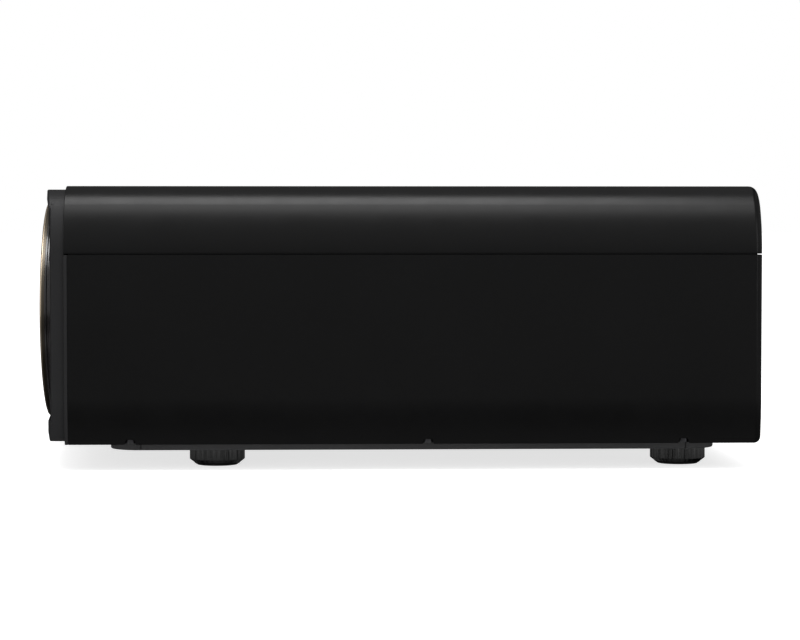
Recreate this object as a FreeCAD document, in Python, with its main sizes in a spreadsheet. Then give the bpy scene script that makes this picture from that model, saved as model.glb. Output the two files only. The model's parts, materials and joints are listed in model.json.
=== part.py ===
import FreeCAD, Part
import math
import os
import re
import Sketcher

# Home projector, front towards -Y, right way up on its four screw feet.
# Origin: on the ground, under the middle of the case's outer box.  Millimetres.

SIZES = {
    # case, outside
    "case_half_width": 225.0, "case_front": -210.6, "case_rear": 241.2,
    "case_bottom": 17.5, "case_top": 184.6,
    "shoulder_angle": 30.0, "shoulder_low_radius": 60.0, "shoulder_top_radius": 24.0,
    "facet_slack": 0.3, "curl_angle": 13.7, "curl_radius": 126.8, "curl_fillet": 124.3,
    "curl_share": 8.0,
    "rear_rounding": 5.0,
    # shells
    "seam_height": 140.3, "seam_gap": 0.6, "cover_wall": 3.0, "case_wall": 3.4,
    "lip_inner": 4.8, "lip_outer": 3.2, "lip_rise": 3.0, "lip_drop": 8.0,
    # front panel
    "panel_inset": 2.3, "panel_wall": 3.0, "panel_radius": 1670.0, "panel_nose": -233.9,
    "rail_proud": 1.0, "rail_height": 12.0, "flange_depth": 2.4, "tongue_inset": 3.5,
    "tongue_depth": 8.0,
    # exhaust and intake grilles
    "exhaust_inner": 93.0, "exhaust_outer": 206.0, "exhaust_low": 44.0, "exhaust_high": 158.0,
    "exhaust_thick": 5.0, "slat_pitch": 8.0, "slat_gap": 5.4, "grille_edge": 4.0,
    "intake_inner": 122.0, "intake_outer": 210.0, "intake_low": 32.0, "intake_high": 130.0,
    "intake_thick": 2.8, "intake_recess": 0.8,
    # lens surround
    "lens_height": 98.0, "ring_radius": 78.0, "ring_front": -241.2, "ring_back": -225.0,
    "lug_end": 92.0, "lug_front": -228.3, "lug_half_tall": 8.0, "ring_land": 72.0,
    "ring_throat": 66.0, "ring_throat_front": -230.0, "trim_width": 2.0, "trim_depth": 3.2,
    "panel_hole_radius": 79.2, "cone_back": -206.0, "cone_back_radius": 52.0, "cone_wall": 2.0,
    "cone_flange_radius": 76.0,
    # feet
    "foot_inset_side": 55.0, "foot_front_line": -114.1, "foot_rear_line": 193.7,
    "knob_radius": 18.3, "knob_top": 11.5, "knob_bottom": 1.8, "knob_bottom_radius": 15.6,
    "chamfer_height": 3.9, "knurl_radius": 1.15, "knurl_centre": 18.8, "knurl_count": 30,
    "stem_radius": 3.95, "stem_top": 28.0, "sole_radius": 13.6, "sole_top_radius": 15.2,
    "sole_thick": 1.5, "pin_radius": 5.0, "pin_top": 4.4, "pin_clearance": 0.08,
    "socket_top": 4.8, "bush_radius": 6.5, "bush_bore": 4.0, "bush_top": 26.0,
    # base plate
    "plate_half_width": 200.0, "plate_front": -184.0, "plate_rear": 215.8,
    "plate_bottom": 11.9, "plate_corner": 21.0, "plate_sheet": 2.0, "boss_radius": 9.0,
    "slit_width": 1.2, "slit_depth": 0.9,
    "hanger_half_x": 150.0, "hanger_front": -60.0, "hanger_rear": 140.0,
    "hanger_radius": 6.0, "hanger_top": 26.0, "hanger_bore": 2.1, "hanger_depth": 12.0,
    "floor_clearance": 0.2,
    # case screws
    "screw_line": 217.2, "screw_front": -168.5, "screw_mid": 24.1, "screw_back": 190.4,
    "recess_radius": 5.5, "recess_top": 20.7, "screw_boss_radius": 7.0, "screw_boss_top": 34.0,
    "screw_head_radius": 4.2, "screw_head_height": 2.4, "screw_shank": 1.6, "screw_top": 32.0,
    # rear terminals
    "terminal_half_width": 112.0, "terminal_low": 26.0, "terminal_high": 62.0,
    "terminal_back": 239.5, "terminal_thick": 2.0, "terminal_line": 38.0,
    "video_left": -44.0, "video_right": -18.0, "network_x": 14.0, "trigger_x": 44.0,
    "mains_x": 84.0, "mains_line": 44.0, "trigger_bore": 1.8, "trigger_radius": 4.0,
    "trigger_proud": 1.4, "video_wide": 15.6, "video_tall": 6.4, "video_deep": 12.0,
    "network_wide": 16.0, "network_tall": 14.0, "network_deep": 16.0, "contact_pitch": 1.02,
    "mains_wide": 28.0, "mains_tall": 21.0, "mains_deep": 24.0, "socket_floor": 1.5,
    # control keys
    "key_line": 92.0, "key_pitch": 24.0, "key_radius": 5.0, "key_flange": 6.4,
    "key_clearance": 0.3, "key_inner_end": 236.2, "key_flange_end": 237.5,
    "key_dish_depth": 1.2, "key_dish_margin": 10.0, "key_board_front": 231.3,
    "key_board_rear": 232.9, "switch_rear": 234.2, "switch_half": 3.0,
    # fans
    "fan_x": 149.0, "fan_half": 46.0, "fan_front": -205.0, "fan_rear": -180.0,
    "fan_bore": 43.0, "fan_hub": 15.0, "fan_hub_front": -200.0, "fan_hub_rear": -185.6,
    "blade_tip": 41.0, "blade_chord": 20.0, "blade_thick": 1.6, "blade_pitch": 38.0,
    "blade_count": 7, "strut_half": 2.0, "strut_thick": 2.5, "fan_axle": 1.5,
    # lens barrel and its rings
    "barrel_front": -203.5, "shade_radius": 62.0, "shade_thick": 1.5, "hood_radius": 43.5,
    "hood_mouth": 39.0, "hood_rear": -176.0, "tube_radius": 41.0,
    "tube_rear": -98.0, "tail_radius": 32.0, "tail_rear": -64.0, "tail_bore": 26.0,
    "tube_bore": 34.3, "lens_plate_half_x": 45.0, "lens_plate_half_z": 50.0,
    "lens_plate_rear": -90.0, "front_glass_radius": 34.2, "front_glass_front": -197.0,
    "front_glass_rear": -186.0, "front_glass_crown": 5.0, "rear_glass_radius": 25.9,
    "rear_glass_front": -80.0, "rear_glass_rear": -72.0, "rear_glass_crown": 3.0,
    "ring_bore": 41.08, "focus_front": -170.0, "focus_rear": -160.0,
    "zoom_front": -148.0, "zoom_rear": -138.0,
    "gear_module": 1.5, "ring_teeth": 60, "pinion_teeth": 12, "gear_slack": 0.15,
    "tooth_above": 1.2, "tooth_below": 1.7, "ring_tip_half": 0.55, "ring_root_half": 1.5,
    "pinion_tip_half": 0.45, "pinion_root_half": 1.15, "shaft_radius": 1.5,
    "shaft_clearance": 0.06, "motor_radius": 9.5, "motor_length": 24.0,
    "motor_plate_thick": 2.5, "motor_plate_half": 10.0, "motor_plate_end": 64.0,
    # lens shift
    "carriage_front": -89.0, "carriage_rear": -81.0, "carriage_half_x": 66.0,
    "carriage_half_z": 58.0, "carriage_window": 46.5, "mount_front": -80.0,
    "mount_rear": -72.0, "mount_half_x": 108.0, "mount_top": 172.0, "mount_window": 47.0,
    "mount_foot_rear": -60.0, "mount_foot_thick": 4.0, "lead_radius": 3.0,
    "lead_clearance": 0.06, "vertical_screw_x": 92.0, "vertical_screw_y": -85.0,
    "vertical_screw_low": 34.0, "vertical_screw_high": 164.0, "lug_half": 7.0,
    "horizontal_screw_y": -95.0, "horizontal_screw_z": 160.0,
    "horizontal_screw_end": 60.0, "lug_thick": 6.0, "nut_half": 8.0,
    # light engine
    "engine_half_x": 62.0, "engine_front": -58.0, "engine_rear": 72.0, "engine_low": 30.0,
    "engine_high": 156.0, "engine_wall": 4.0, "engine_port": 36.0, "light_port_half": 18.0,
    "light_port_y": 30.0, "prism_half": 15.0, "prism_y": 10.0, "imager_gap": 2.0,
    "imager_thick": 4.0, "imager_half": 13.0, "sink_depth": 12.0,
    # light source
    "laser_left": -205.0, "laser_right": -150.0, "laser_front": 60.0, "laser_rear": 130.0,
    "laser_low": 40.0, "laser_high": 120.0, "laser_nose": 14.0, "laser_nose_radius": 16.0,
    "wheel_x": -112.0, "wheel_y": 60.0, "wheel_z": 84.0, "wheel_radius": 30.0,
    "wheel_thick": 1.0, "wheel_hub": 10.0, "wheel_hub_thick": 5.0, "wheel_motor_radius": 11.0,
    "wheel_motor_length": 16.0, "wheel_axle": 1.5,
    "cooler_left": -212.0, "cooler_right": -146.0, "cooler_front": -165.0, "cooler_rear": 30.0,
    "cooler_low": 44.0, "cooler_base": 12.0, "cooler_high": 134.0, "fin_thick": 1.4,
    "fin_count": 12, "pipe_radius": 3.0, "pipe_height": 50.0, "pipe_pitch": 18.0,
    "pipe_middle": -179.0, "pipe_depth": 20.0,
    # boards
    "seat_gap": 0.05, "motor_gap": 0.3, "window_sink": 0.3, "rear_window_x": 85.0,
    "capacitor_height": 32.0, "capacitor_radius": 9.0, "post_radius": 3.0,
    "board_low": 24.0, "board_thick": 1.6, "board_half_x": 116.0, "board_front": 120.0,
    "board_rear": 232.0, "power_left": 124.0, "power_right": 214.0, "power_front": -150.0,
    "power_rear": 110.0, "power_low": 36.0,
    # lights and windows in the lower rail
    "status_x": -180.0, "window_x": 180.0, "window_half_x": 9.0, "window_half_z": 3.0,
    "window_thick": 2.0, "window_line": 26.0, "light_half_x": 5.0, "light_half_z": 1.4,
}

doc = FreeCAD.newDocument("home_projector")
sheet = doc.addObject("Spreadsheet::Sheet", "Sizes")
for row, (alias, number) in enumerate(SIZES.items(), start=1):
    sheet.set(f"A{row}", alias)
    sheet.set(f"B{row}", str(number))
    sheet.setAlias(f"B{row}", alias)
doc.recompute()

TOUCH = 0.02            # how near two edges are to count as the same place
REACH = 30.0            # how far a cutting tool runs past what it cuts
CHIPS = (               # main board parts: x, y, half width, height
    (-60, 150, 19, 9), (-10, 155, 14, 4), (40, 150, 16, 12), (80, 165, 10, 3), (-95, 185, 9, 3),
)
CAPACITORS = ((145, -120), (170, -120), (195, -120), (145, 80))
COILS = (               # power board parts: x, y, width, depth, height
    (168, -60, 50, 44, 34), (168, 0, 40, 36, 28), (190, 60, 8, 60, 40),
)
AXIS_TURN = {
    "x": FreeCAD.Rotation(FreeCAD.Vector(0, 1, 0), 90),
    "y": FreeCAD.Rotation(FreeCAD.Vector(1, 0, 0), -90),
    "z": FreeCAD.Rotation(),
}
WORD = re.compile(r"[A-Za-z_]\w*")
sub_parts = []


# ---------------------------------------------------------------- helpers

def formula(text):
    """A formula over the sheet's aliases, written as FreeCAD wants it."""
    return WORD.sub(lambda word: f"Sizes.{word[0]}" if word[0] in SIZES else word[0], str(text))


def size(text):
    """The present value of such a formula."""
    return float(sheet.evalExpression(formula(text)))


def bind(target, prop, text):
    target.setExpression(prop, formula(text))


def place(target, x=0, y=0, z=0, turn=None):
    if turn is not None:
        target.Placement = FreeCAD.Placement(FreeCAD.Vector(), turn)
    for axis, text in zip("xyz", (x, y, z)):
        bind(target, f"Placement.Base.{axis}", text)
    return target


def sub_part(target, label):
    """Mark an object as one of the projector's pieces."""
    target.Label = label
    sub_parts.append(target)
    return target


def box(name, x, y, z):
    """Block between two formulas along each axis."""
    target = doc.addObject("Part::Box", name)
    for side, (low, high) in zip(("Length", "Width", "Height"), (x, y, z)):
        bind(target, side, f"({high}) - ({low})")
    return place(target, x[0], y[0], z[0])


def between(middle, half):
    """Span of a half width to both sides of a middle."""
    return (f"{middle} - {half}", f"{middle} + {half}")


def on_side(sign, near, far):
    """Span between two distances from the middle plane, on the side the sign tells."""
    span = (f"{sign} * ({near})", f"{sign} * ({far})")
    return span if sign > 0 else span[::-1]


def upright_edges(shape):
    """Names of a shape's vertical edges."""
    names = []
    for index, edge in enumerate(shape.Edges, start=1):
        if edge.BoundBox.XLength < TOUCH and edge.BoundBox.YLength < TOUCH:
            names.append(f"Edge{index}")
    return names


def lens_box(name, x, y, z):
    """Block whose z formulas count from the lens axis."""
    return box(name, x, y, (f"lens_height + {z[0]}", f"lens_height + {z[1]}"))


def rod(name, axis, start, length, radius):
    """Cylinder along an axis from a start point."""
    target = doc.addObject("Part::Cylinder", name)
    bind(target, "Radius", radius)
    bind(target, "Height", length)
    return place(target, *start, AXIS_TURN[axis])


def join(name, pieces):
    target = doc.addObject("Part::MultiFuse", name)
    target.Shapes = pieces
    target.Refine = True
    return target


def overlap(name, pieces):
    target = doc.addObject("Part::MultiCommon", name)
    target.Shapes = pieces
    return target


def cut(name, base, tools):
    target = doc.addObject("Part::Cut", name)
    target.Base = base
    target.Tool = tools[0] if len(tools) == 1 else join(f"{name}_tools", tools)
    return target


def group(name, pieces):
    """Identical separate solids that share one node."""
    target = doc.addObject("Part::Compound", name)
    target.Links = pieces
    return target


def new_sketch(body, name, role, offset=0):
    sketch = body.newObject("Sketcher::SketchObject", name)
    plane = next(item for item in body.Origin.OriginFeatures if item.Role == role)
    sketch.AttachmentSupport = [(plane, "")]
    sketch.MapMode = "FlatFace"
    bind(sketch, "AttachmentOffset.Base.z", offset)
    return sketch


def pin_point(sketch, geometry, end, x, y):
    """Hold one end of a sketch element at two formulas."""
    for kind, text in (("DistanceX", x), ("DistanceY", y)):
        index = sketch.addConstraint(Sketcher.Constraint(kind, -1, 1, geometry, end, size(text)))
        bind(sketch, f"Constraints[{index}]", text)


def add_loop(sketch, corners):
    """Closed outline of straight lines through corners given as formulas."""
    points = [FreeCAD.Vector(size(x), size(y), 0) for x, y in corners]
    first = sketch.GeometryCount
    count = len(points)
    for index, point in enumerate(points):
        sketch.addGeometry(Part.LineSegment(point, points[(index + 1) % count]))
    for index in range(count):
        following = first + (index + 1) % count
        sketch.addConstraint(Sketcher.Constraint("Coincident", first + index, 2, following, 1))
    for index, (x, y) in enumerate(corners):
        pin_point(sketch, first + index, 1, x, y)


def add_circle(sketch, x, y, radius):
    centre = FreeCAD.Vector(size(x), size(y), 0)
    circle = Part.Circle(centre, FreeCAD.Vector(0, 0, 1), size(radius))
    geometry = sketch.addGeometry(circle)
    pin_point(sketch, geometry, 3, x, y)
    index = sketch.addConstraint(Sketcher.Constraint("Radius", geometry, size(radius)))
    bind(sketch, f"Constraints[{index}]", radius)


def pad(body, sketch, name, length):
    feature = body.newObject("PartDesign::Pad", name)
    feature.Profile = sketch
    bind(feature, "Length", length)
    doc.recompute()
    return feature


def pocket(body, sketch, name, length, reverse=False):
    """Pocket that must take material away."""
    before = body.Shape.Volume
    feature = body.newObject("PartDesign::Pocket", name)
    feature.Profile = sketch
    feature.Reversed = reverse
    bind(feature, "Length", length)
    doc.recompute()
    if feature.Shape.Volume >= before:
        raise RuntimeError(f"{name} cuts nothing")
    return feature


def fillet(body, base, name, edges, radius):
    feature = body.newObject("PartDesign::Fillet", name)
    feature.Base = (base, edges)
    bind(feature, "Radius", radius)
    doc.recompute()
    return feature


def ring_pattern(body, feature, sketch, name, count):
    """Repeat a feature evenly round its sketch's own normal."""
    pattern = body.newObject("PartDesign::PolarPattern", name)
    pattern.Originals = [feature]
    pattern.Axis = (sketch, ["N_Axis"])
    pattern.Angle = 360
    bind(pattern, "Occurrences", count)
    body.Tip = pattern
    doc.recompute()
    return pattern


def turned(name, corners, axis="y"):
    """Solid of revolution: corners are (place along the axis, radius)."""
    body = doc.addObject("PartDesign::Body", name)
    if axis == "y":
        sketch = new_sketch(body, f"{name}_profile", "YZ_Plane")
        add_loop(sketch, corners)
    else:
        sketch = new_sketch(body, f"{name}_profile", "XZ_Plane")
        add_loop(sketch, [(radius, along) for along, radius in corners])
    revolution = body.newObject("PartDesign::Revolution", f"{name}_turn")
    revolution.Profile = sketch
    revolution.ReferenceAxis = (sketch, ["H_Axis" if axis == "y" else "V_Axis"])
    revolution.Angle = 360
    doc.recompute()
    return body


def mirrored(corners):
    """Right-hand corners followed by their mirror images, bottom to top and back."""
    return corners + [(f"-({x})", z) for x, z in reversed(corners)]


def lengthwise_edges(shape, spots):
    """Names of the edges that run front to rear through the given (x, z) spots."""
    names = []
    for index, edge in enumerate(shape.Edges, start=1):
        start = edge.Vertexes[0].Point
        end = edge.Vertexes[-1].Point
        straight = math.hypot(start.x - end.x, start.z - end.z) < TOUCH
        near = any(math.hypot(start.x - x, start.z - z) < TOUCH for x, z in spots)
        if straight and near and abs(start.y - end.y) > TOUCH:
            names.append(f"Edge{index}")
    return names


def case_section(inset):
    """Right half of the case's cross-section, moved in by inset, bottom to top."""
    facet = (f"((shoulder_low_radius - {inset}) * tan(shoulder_angle / 2)"
             f" + (shoulder_top_radius - {inset}) * tan(45 - shoulder_angle / 2) + facet_slack)")
    side = f"case_half_width - {inset}"
    top = f"case_top - {inset}"
    curl_in = f"curl_radius * (1 - cos(curl_angle)) + {inset} * tan(45 - curl_angle / 2)"
    curl_up = f"curl_radius * sin(curl_angle) - (curl_radius - {inset}) * tan(curl_angle / 2)"
    return [
        (f"case_half_width - ({curl_in})", f"case_bottom + {inset}"),
        (side, f"case_bottom + {curl_up}"),
        (side, f"{top} - {facet} * cos(shoulder_angle)"),
        (f"{side} - {facet} * sin(shoulder_angle)", top),
    ]


def case_solid(name, inset, front, rear, rear_radius=None):
    """Solid with the case's cross-section moved in by inset, from front to rear."""
    body = doc.addObject("PartDesign::Body", name)
    sketch = new_sketch(body, f"{name}_outline", "XZ_Plane", f"-({rear})")
    section = case_section(inset)
    add_loop(sketch, mirrored(section))
    tip = pad(body, sketch, f"{name}_pad", f"({rear}) - ({front})")
    spots = [(size(x), size(z)) for x, z in section]
    # the floor cuts the curl short in an inner section, so its radius shrinks faster there
    for corner, radius, share in ((3, "shoulder_top_radius", 1), (2, "shoulder_low_radius", 1),
                                  (1, "curl_fillet", "curl_share")):
        x, z = spots[corner]
        edges = lengthwise_edges(tip.Shape, [(x, z), (-x, z)])
        tip = fillet(body, tip, f"{name}_{radius}", edges, f"{radius} - {share} * {inset}")
    if rear_radius:
        back = size(rear)
        floor = size(f"case_bottom + {inset}")
        edges = []
        for index, edge in enumerate(tip.Shape.Edges, start=1):
            bounds = edge.BoundBox
            if bounds.YMin > back - TOUCH and bounds.ZMax > floor + TOUCH:
                edges.append(f"Edge{index}")
        fillet(body, tip, f"{name}_rear", edges, rear_radius)
    return body


def bowed_face(name, nose):
    """Upright drum whose front is the bowed front face, foremost at nose."""
    return rod(name, "z", (0, f"{nose} + panel_radius", f"case_bottom - {REACH}"),
               f"case_top - case_bottom + 2 * {REACH}", "panel_radius")


# ---------------------------------------------------------------- shells

def make_top_cover():
    outer = case_solid("cover_outer", 0, "case_front", "case_rear", "rear_rounding")
    inner = case_solid("cover_inner", "cover_wall", f"case_front - {REACH}", "case_rear - cover_wall")
    above = box("cover_zone", (f"-case_half_width - {REACH}", f"case_half_width + {REACH}"),
                (f"case_front - {REACH}", f"case_rear + {REACH}"),
                ("seam_height + seam_gap / 2", f"case_top + {REACH}"))
    return sub_part(cut("top_cover", overlap("cover_block", [outer, above]), [inner]), "top_cover")


def make_lip():
    """Tongue of the lower case that stands inside the cover, along both sides."""
    body = doc.addObject("PartDesign::Body", "seam_lip")
    sketch = new_sketch(body, "seam_lip_outline", "XZ_Plane", "-(case_rear - 12)")
    right = [
        ("case_half_width - case_wall", "seam_height - lip_drop"),
        ("case_half_width - case_wall", "seam_height - seam_gap / 2"),
        ("case_half_width - lip_outer", "seam_height - seam_gap / 2"),
        ("case_half_width - lip_outer", "seam_height + lip_rise - 1.5"),
        ("case_half_width - lip_inner", "seam_height + lip_rise - 1.5"),
        ("case_half_width - lip_inner", "seam_height - lip_drop"),
    ]
    add_loop(sketch, right)
    pad(body, sketch, "seam_lip_pad", "case_rear - case_front - 30")
    mirror = doc.addObject("Part::Mirroring", "seam_lip_left")
    mirror.Source = body
    mirror.Normal = FreeCAD.Vector(1, 0, 0)
    return [body, mirror]


def screw_spots():
    return [(f"{side} * screw_line", line) for side in (1, -1)
            for line in ("screw_front", "screw_mid", "screw_back")]


def foot_spots():
    return {
        f"{line}_{side}": (f"{sign} * (case_half_width - foot_inset_side)", f"foot_{line}_line")
        for line in ("front", "rear") for side, sign in (("left", 1), ("right", -1))
    }


def hanger_spots():
    return [(f"{sign} * hanger_half_x", line) for sign in (1, -1)
            for line in ("hanger_front", "hanger_rear")]


def key_places():
    names = ("power_key", "input_key", "select_key", "menu_key", "back_key")
    middle = (len(names) - 1) / 2
    return {name: f"{index - middle} * key_pitch" for index, name in enumerate(names)}


def make_lower_case():
    outer = case_solid("lower_outer", 0, "case_front + flange_depth", "case_rear", "rear_rounding")
    inner = case_solid("lower_inner", "case_wall", f"case_front - {REACH}", "case_rear - case_wall")
    below = box("lower_zone", (f"-case_half_width - {REACH}", f"case_half_width + {REACH}"),
                (f"case_front - {REACH}", f"case_rear + {REACH}"),
                (f"case_bottom - {REACH}", "seam_height - seam_gap / 2"))
    shell = cut("lower_shell", overlap("lower_block", [outer, below]), [inner])
    posts = []
    holes = []
    for index, (x, y) in enumerate(screw_spots()):
        posts.append(rod(f"screw_boss_{index}", "z", (x, y, "case_bottom"),
                         "screw_boss_top - case_bottom", "screw_boss_radius"))
        holes.append(rod(f"screw_recess_{index}", "z", (x, y, "case_bottom - 5"),
                         "recess_top - case_bottom + 5", "recess_radius"))
        holes.append(rod(f"screw_pilot_{index}", "z", (x, y, "case_bottom"),
                         "screw_boss_top - case_bottom + 1", "screw_shank"))
    for name, (x, y) in foot_spots().items():
        holes.append(rod(f"bush_hole_{name}", "z", (x, y, "case_bottom - 5"),
                         "case_wall + 10", "bush_radius + floor_clearance"))
    for index, (x, y) in enumerate(hanger_spots()):
        holes.append(rod(f"hanger_hole_{index}", "z", (x, y, "case_bottom - 5"),
                         "case_wall + 10", "hanger_radius + floor_clearance"))
    posts_inside = overlap("screw_bosses", [join("boss_posts", posts), case_solid(
        "boss_limit", 1, "case_front + flange_depth", "case_rear")])
    rear_wall = ("case_rear - case_wall - 5", "case_rear + 5")
    for sign, side in ((1, "left"), (-1, "right")):
        span = on_side(sign, "intake_inner", "intake_outer")
        holes.append(box(f"intake_hole_{side}", span, rear_wall, ("intake_low", "intake_high")))
    holes.append(box("terminal_hole", ("-terminal_half_width", "terminal_half_width"), rear_wall,
                     ("terminal_low", "terminal_high")))
    reach = "2 * key_pitch + key_dish_margin"
    holes.append(box("key_dish", (f"-({reach})", reach), ("case_rear - key_dish_depth", "case_rear + 5"),
                     ("key_line - key_dish_margin", "key_line + key_dish_margin")))
    holes.append(box("rear_window_hole", ("85 - window_half_x", "85 + window_half_x"), rear_wall,
                     ("key_line - window_half_z", "key_line + window_half_z")))
    for name, x in key_places().items():
        holes.append(rod(f"{name}_hole", "y", (x, "case_rear - case_wall - 5", "key_line"),
                         "case_wall + 10", "key_radius + key_clearance"))
    whole = join("lower_body", [shell, posts_inside] + make_lip())
    return sub_part(cut("lower_case", whole, holes), "lower_case")


def make_base_plate():
    body = doc.addObject("PartDesign::Body", "plate_tray")
    rectangle = [
        ("plate_half_width", "plate_front"), ("plate_half_width", "plate_rear"),
        ("-plate_half_width", "plate_rear"), ("-plate_half_width", "plate_front"),
    ]
    sketch = new_sketch(body, "plate_outline", "XY_Plane", "plate_bottom")
    add_loop(sketch, rectangle)
    tip = pad(body, sketch, "plate_pad", "case_bottom - plate_bottom")
    fillet(body, tip, "plate_corners", upright_edges(tip.Shape), "plate_corner")
    hollow = doc.addObject("PartDesign::Body", "plate_hollow")
    inner = new_sketch(hollow, "plate_inner", "XY_Plane", "plate_bottom + plate_sheet")
    add_loop(inner, [(f"{x} {'-' if not x.startswith('-') else '+'} plate_sheet",
                      f"{y} {'+' if 'front' in y else '-'} plate_sheet") for x, y in rectangle])
    tip = pad(hollow, inner, "plate_hollow_pad", "case_bottom - plate_bottom")
    fillet(hollow, tip, "plate_hollow_corners", upright_edges(tip.Shape), "plate_corner - plate_sheet")
    tray = cut("plate_shell", body, [hollow])
    posts = []
    holes = []
    for name, (x, y) in foot_spots().items():
        posts.append(rod(f"foot_boss_{name}", "z", (x, y, "plate_bottom"),
                         "case_bottom - plate_bottom", "boss_radius"))
        holes.append(rod(f"foot_hole_{name}", "z", (x, y, "plate_bottom - 5"), 20, "bush_radius"))
    for index, (x, y) in enumerate(hanger_spots()):
        posts.append(rod(f"hanger_post_{index}", "z", (x, y, "plate_bottom"),
                         "hanger_top - plate_bottom", "hanger_radius"))
        holes.append(rod(f"hanger_bore_{index}", "z", (x, y, "plate_bottom - 5"),
                         "hanger_depth + 5", "hanger_bore"))
    for index, sign in enumerate((1, -1)):
        for end, line in (("front", "plate_front + plate_corner"), ("rear", "plate_rear - plate_corner")):
            holes.append(box(f"flange_slit_{index}_{end}",
                             on_side(sign, "plate_half_width - slit_depth", "plate_half_width + 5"),
                             between(line, "slit_width / 2"), ("plate_bottom - 5", "case_bottom + 5")))
    return sub_part(cut("base_plate", join("plate_body", [tray] + posts), holes), "base_plate")


def make_front_panel():
    thick = "(panel_inset + panel_wall)"
    face = overlap("panel_face", [
        case_solid("panel_outline", "panel_inset", "panel_nose - 12", "case_front"),
        bowed_face("rail_drum", "panel_nose - rail_proud")])
    field_zone = box("field_zone", ("-case_half_width", "case_half_width"),
                     ("panel_nose - 20", "case_front"),
                     ("case_bottom + panel_inset + rail_height", "case_top - panel_inset - rail_height"))
    field = cut("field_cutter", field_zone, [bowed_face("field_drum", "panel_nose")])
    face = cut("panel_faced", face, [field])
    flange = overlap("panel_flange", [
        case_solid("flange_outline", 0, "case_front", "case_front + flange_depth"),
        box("flange_zone", ("-case_half_width", "case_half_width"),
            ("case_front - 1", "case_front + flange_depth + 1"),
            ("case_bottom", "seam_height - seam_gap / 2"))])
    tongue = case_solid("panel_tongue", "tongue_inset", "case_front", "case_front + tongue_depth")
    hollow = overlap("panel_hollow", [
        case_solid("hollow_outline", thick, "panel_nose - 12", "case_front + tongue_depth + 5"),
        bowed_face("hollow_drum", "panel_nose + panel_wall")])
    holes = [hollow, rod("ring_hole", "y", (0, "panel_nose - 20", "lens_height"),
                         "ring_back + 3 - panel_nose + 20", "panel_hole_radius")]
    for sign, side in ((1, "left"), (-1, "right")):
        span = on_side(sign, "exhaust_inner", "exhaust_outer")
        holes.append(box(f"exhaust_hole_{side}", span, ("panel_nose - 20", "case_front"),
                         ("exhaust_low", "exhaust_high")))
    holes.append(box("status_hole", ("status_x - light_half_x", "status_x + light_half_x"),
                     ("panel_nose - 20", "case_front"),
                     ("window_line - light_half_z", "window_line + light_half_z")))
    holes.append(box("window_hole", ("window_x - window_half_x", "window_x + window_half_x"),
                     ("panel_nose - 20", "case_front"),
                     ("window_line - window_half_z", "window_line + window_half_z")))
    whole = join("panel_body", [face, flange, tongue])
    return sub_part(cut("front_panel", whole, holes), "front_panel")


# ---------------------------------------------------------------- grilles, lights and windows

def curved_insert(name, x, z, front_step, thick):
    """Block between two spans, its front and back following the bowed face."""
    block = box(f"{name}_block", x, ("panel_nose - 12", "case_front"), z)
    front = bowed_face(f"{name}_front", f"panel_nose + {front_step}")
    back = bowed_face(f"{name}_back", f"panel_nose + {front_step} + {thick}")
    return cut(name, overlap(f"{name}_solid", [block, front]), [back])


def slot_boxes(name, x, y, low, high):
    """Level slots at one pitch, as many as fit between low and high."""
    count = int((size(high) - size(low) - size("grille_edge")) // size("slat_pitch"))
    first = f"(({low}) + ({high}) - {count} * slat_pitch + (slat_pitch - slat_gap)) / 2"
    return [box(f"{name}_{index}", x, y, (f"{first} + {index} * slat_pitch",
                                          f"{first} + {index} * slat_pitch + slat_gap"))
            for index in range(count)]


def make_exhaust_grille(side, sign):
    span = on_side(sign, "exhaust_inner + seat_gap", "exhaust_outer - seat_gap")
    slot_span = on_side(sign, "exhaust_inner + grille_edge", "exhaust_outer - grille_edge")
    plate = curved_insert(f"exhaust_plate_{side}", span,
                          ("exhaust_low + seat_gap", "exhaust_high - seat_gap"), 0.5, "exhaust_thick")
    slots = slot_boxes(f"exhaust_slot_{side}", slot_span, ("panel_nose - 12", "case_front"),
                       "exhaust_low", "exhaust_high")
    name = f"exhaust_grille_{side}"
    return sub_part(cut(name, plate, slots), name)


def make_intake_grilles():
    grilles = []
    depth = ("case_rear - intake_recess - intake_thick", "case_rear - intake_recess")
    for sign, side in ((1, "left"), (-1, "right")):
        span = on_side(sign, "intake_inner + seat_gap", "intake_outer - seat_gap")
        slot_span = on_side(sign, "intake_inner + grille_edge", "intake_outer - grille_edge")
        plate = box(f"intake_plate_{side}", span, depth, ("intake_low + seat_gap", "intake_high - seat_gap"))
        slots = slot_boxes(f"intake_slot_{side}", slot_span, ("case_rear - 10", "case_rear + 5"),
                           "intake_low", "intake_high")
        grilles.append(cut(f"intake_{side}", plate, slots))
    return sub_part(group("intake_grilles", grilles), "intake_grilles")


def make_lights():
    line = between("window_line", "(light_half_z - seat_gap)")
    light = curved_insert("status_light", between("status_x", "(light_half_x - seat_gap)"), line,
                          "window_sink - rail_proud", "window_thick")
    sub_part(light, "status_light")
    line = between("window_line", "(window_half_z - seat_gap)")
    front = curved_insert("front_window", between("window_x", "(window_half_x - seat_gap)"), line,
                          "window_sink - rail_proud", "window_thick")
    rear = box("rear_window", between("rear_window_x", "(window_half_x - seat_gap)"),
               ("case_rear - window_sink - window_thick", "case_rear - window_sink"),
               between("key_line", "(window_half_z - seat_gap)"))
    sub_part(group("infrared_windows", [front, rear]), "infrared_windows")


# ---------------------------------------------------------------- lens surround

def on_lens_axis(body):
    return place(body, 0, 0, "lens_height")


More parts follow.
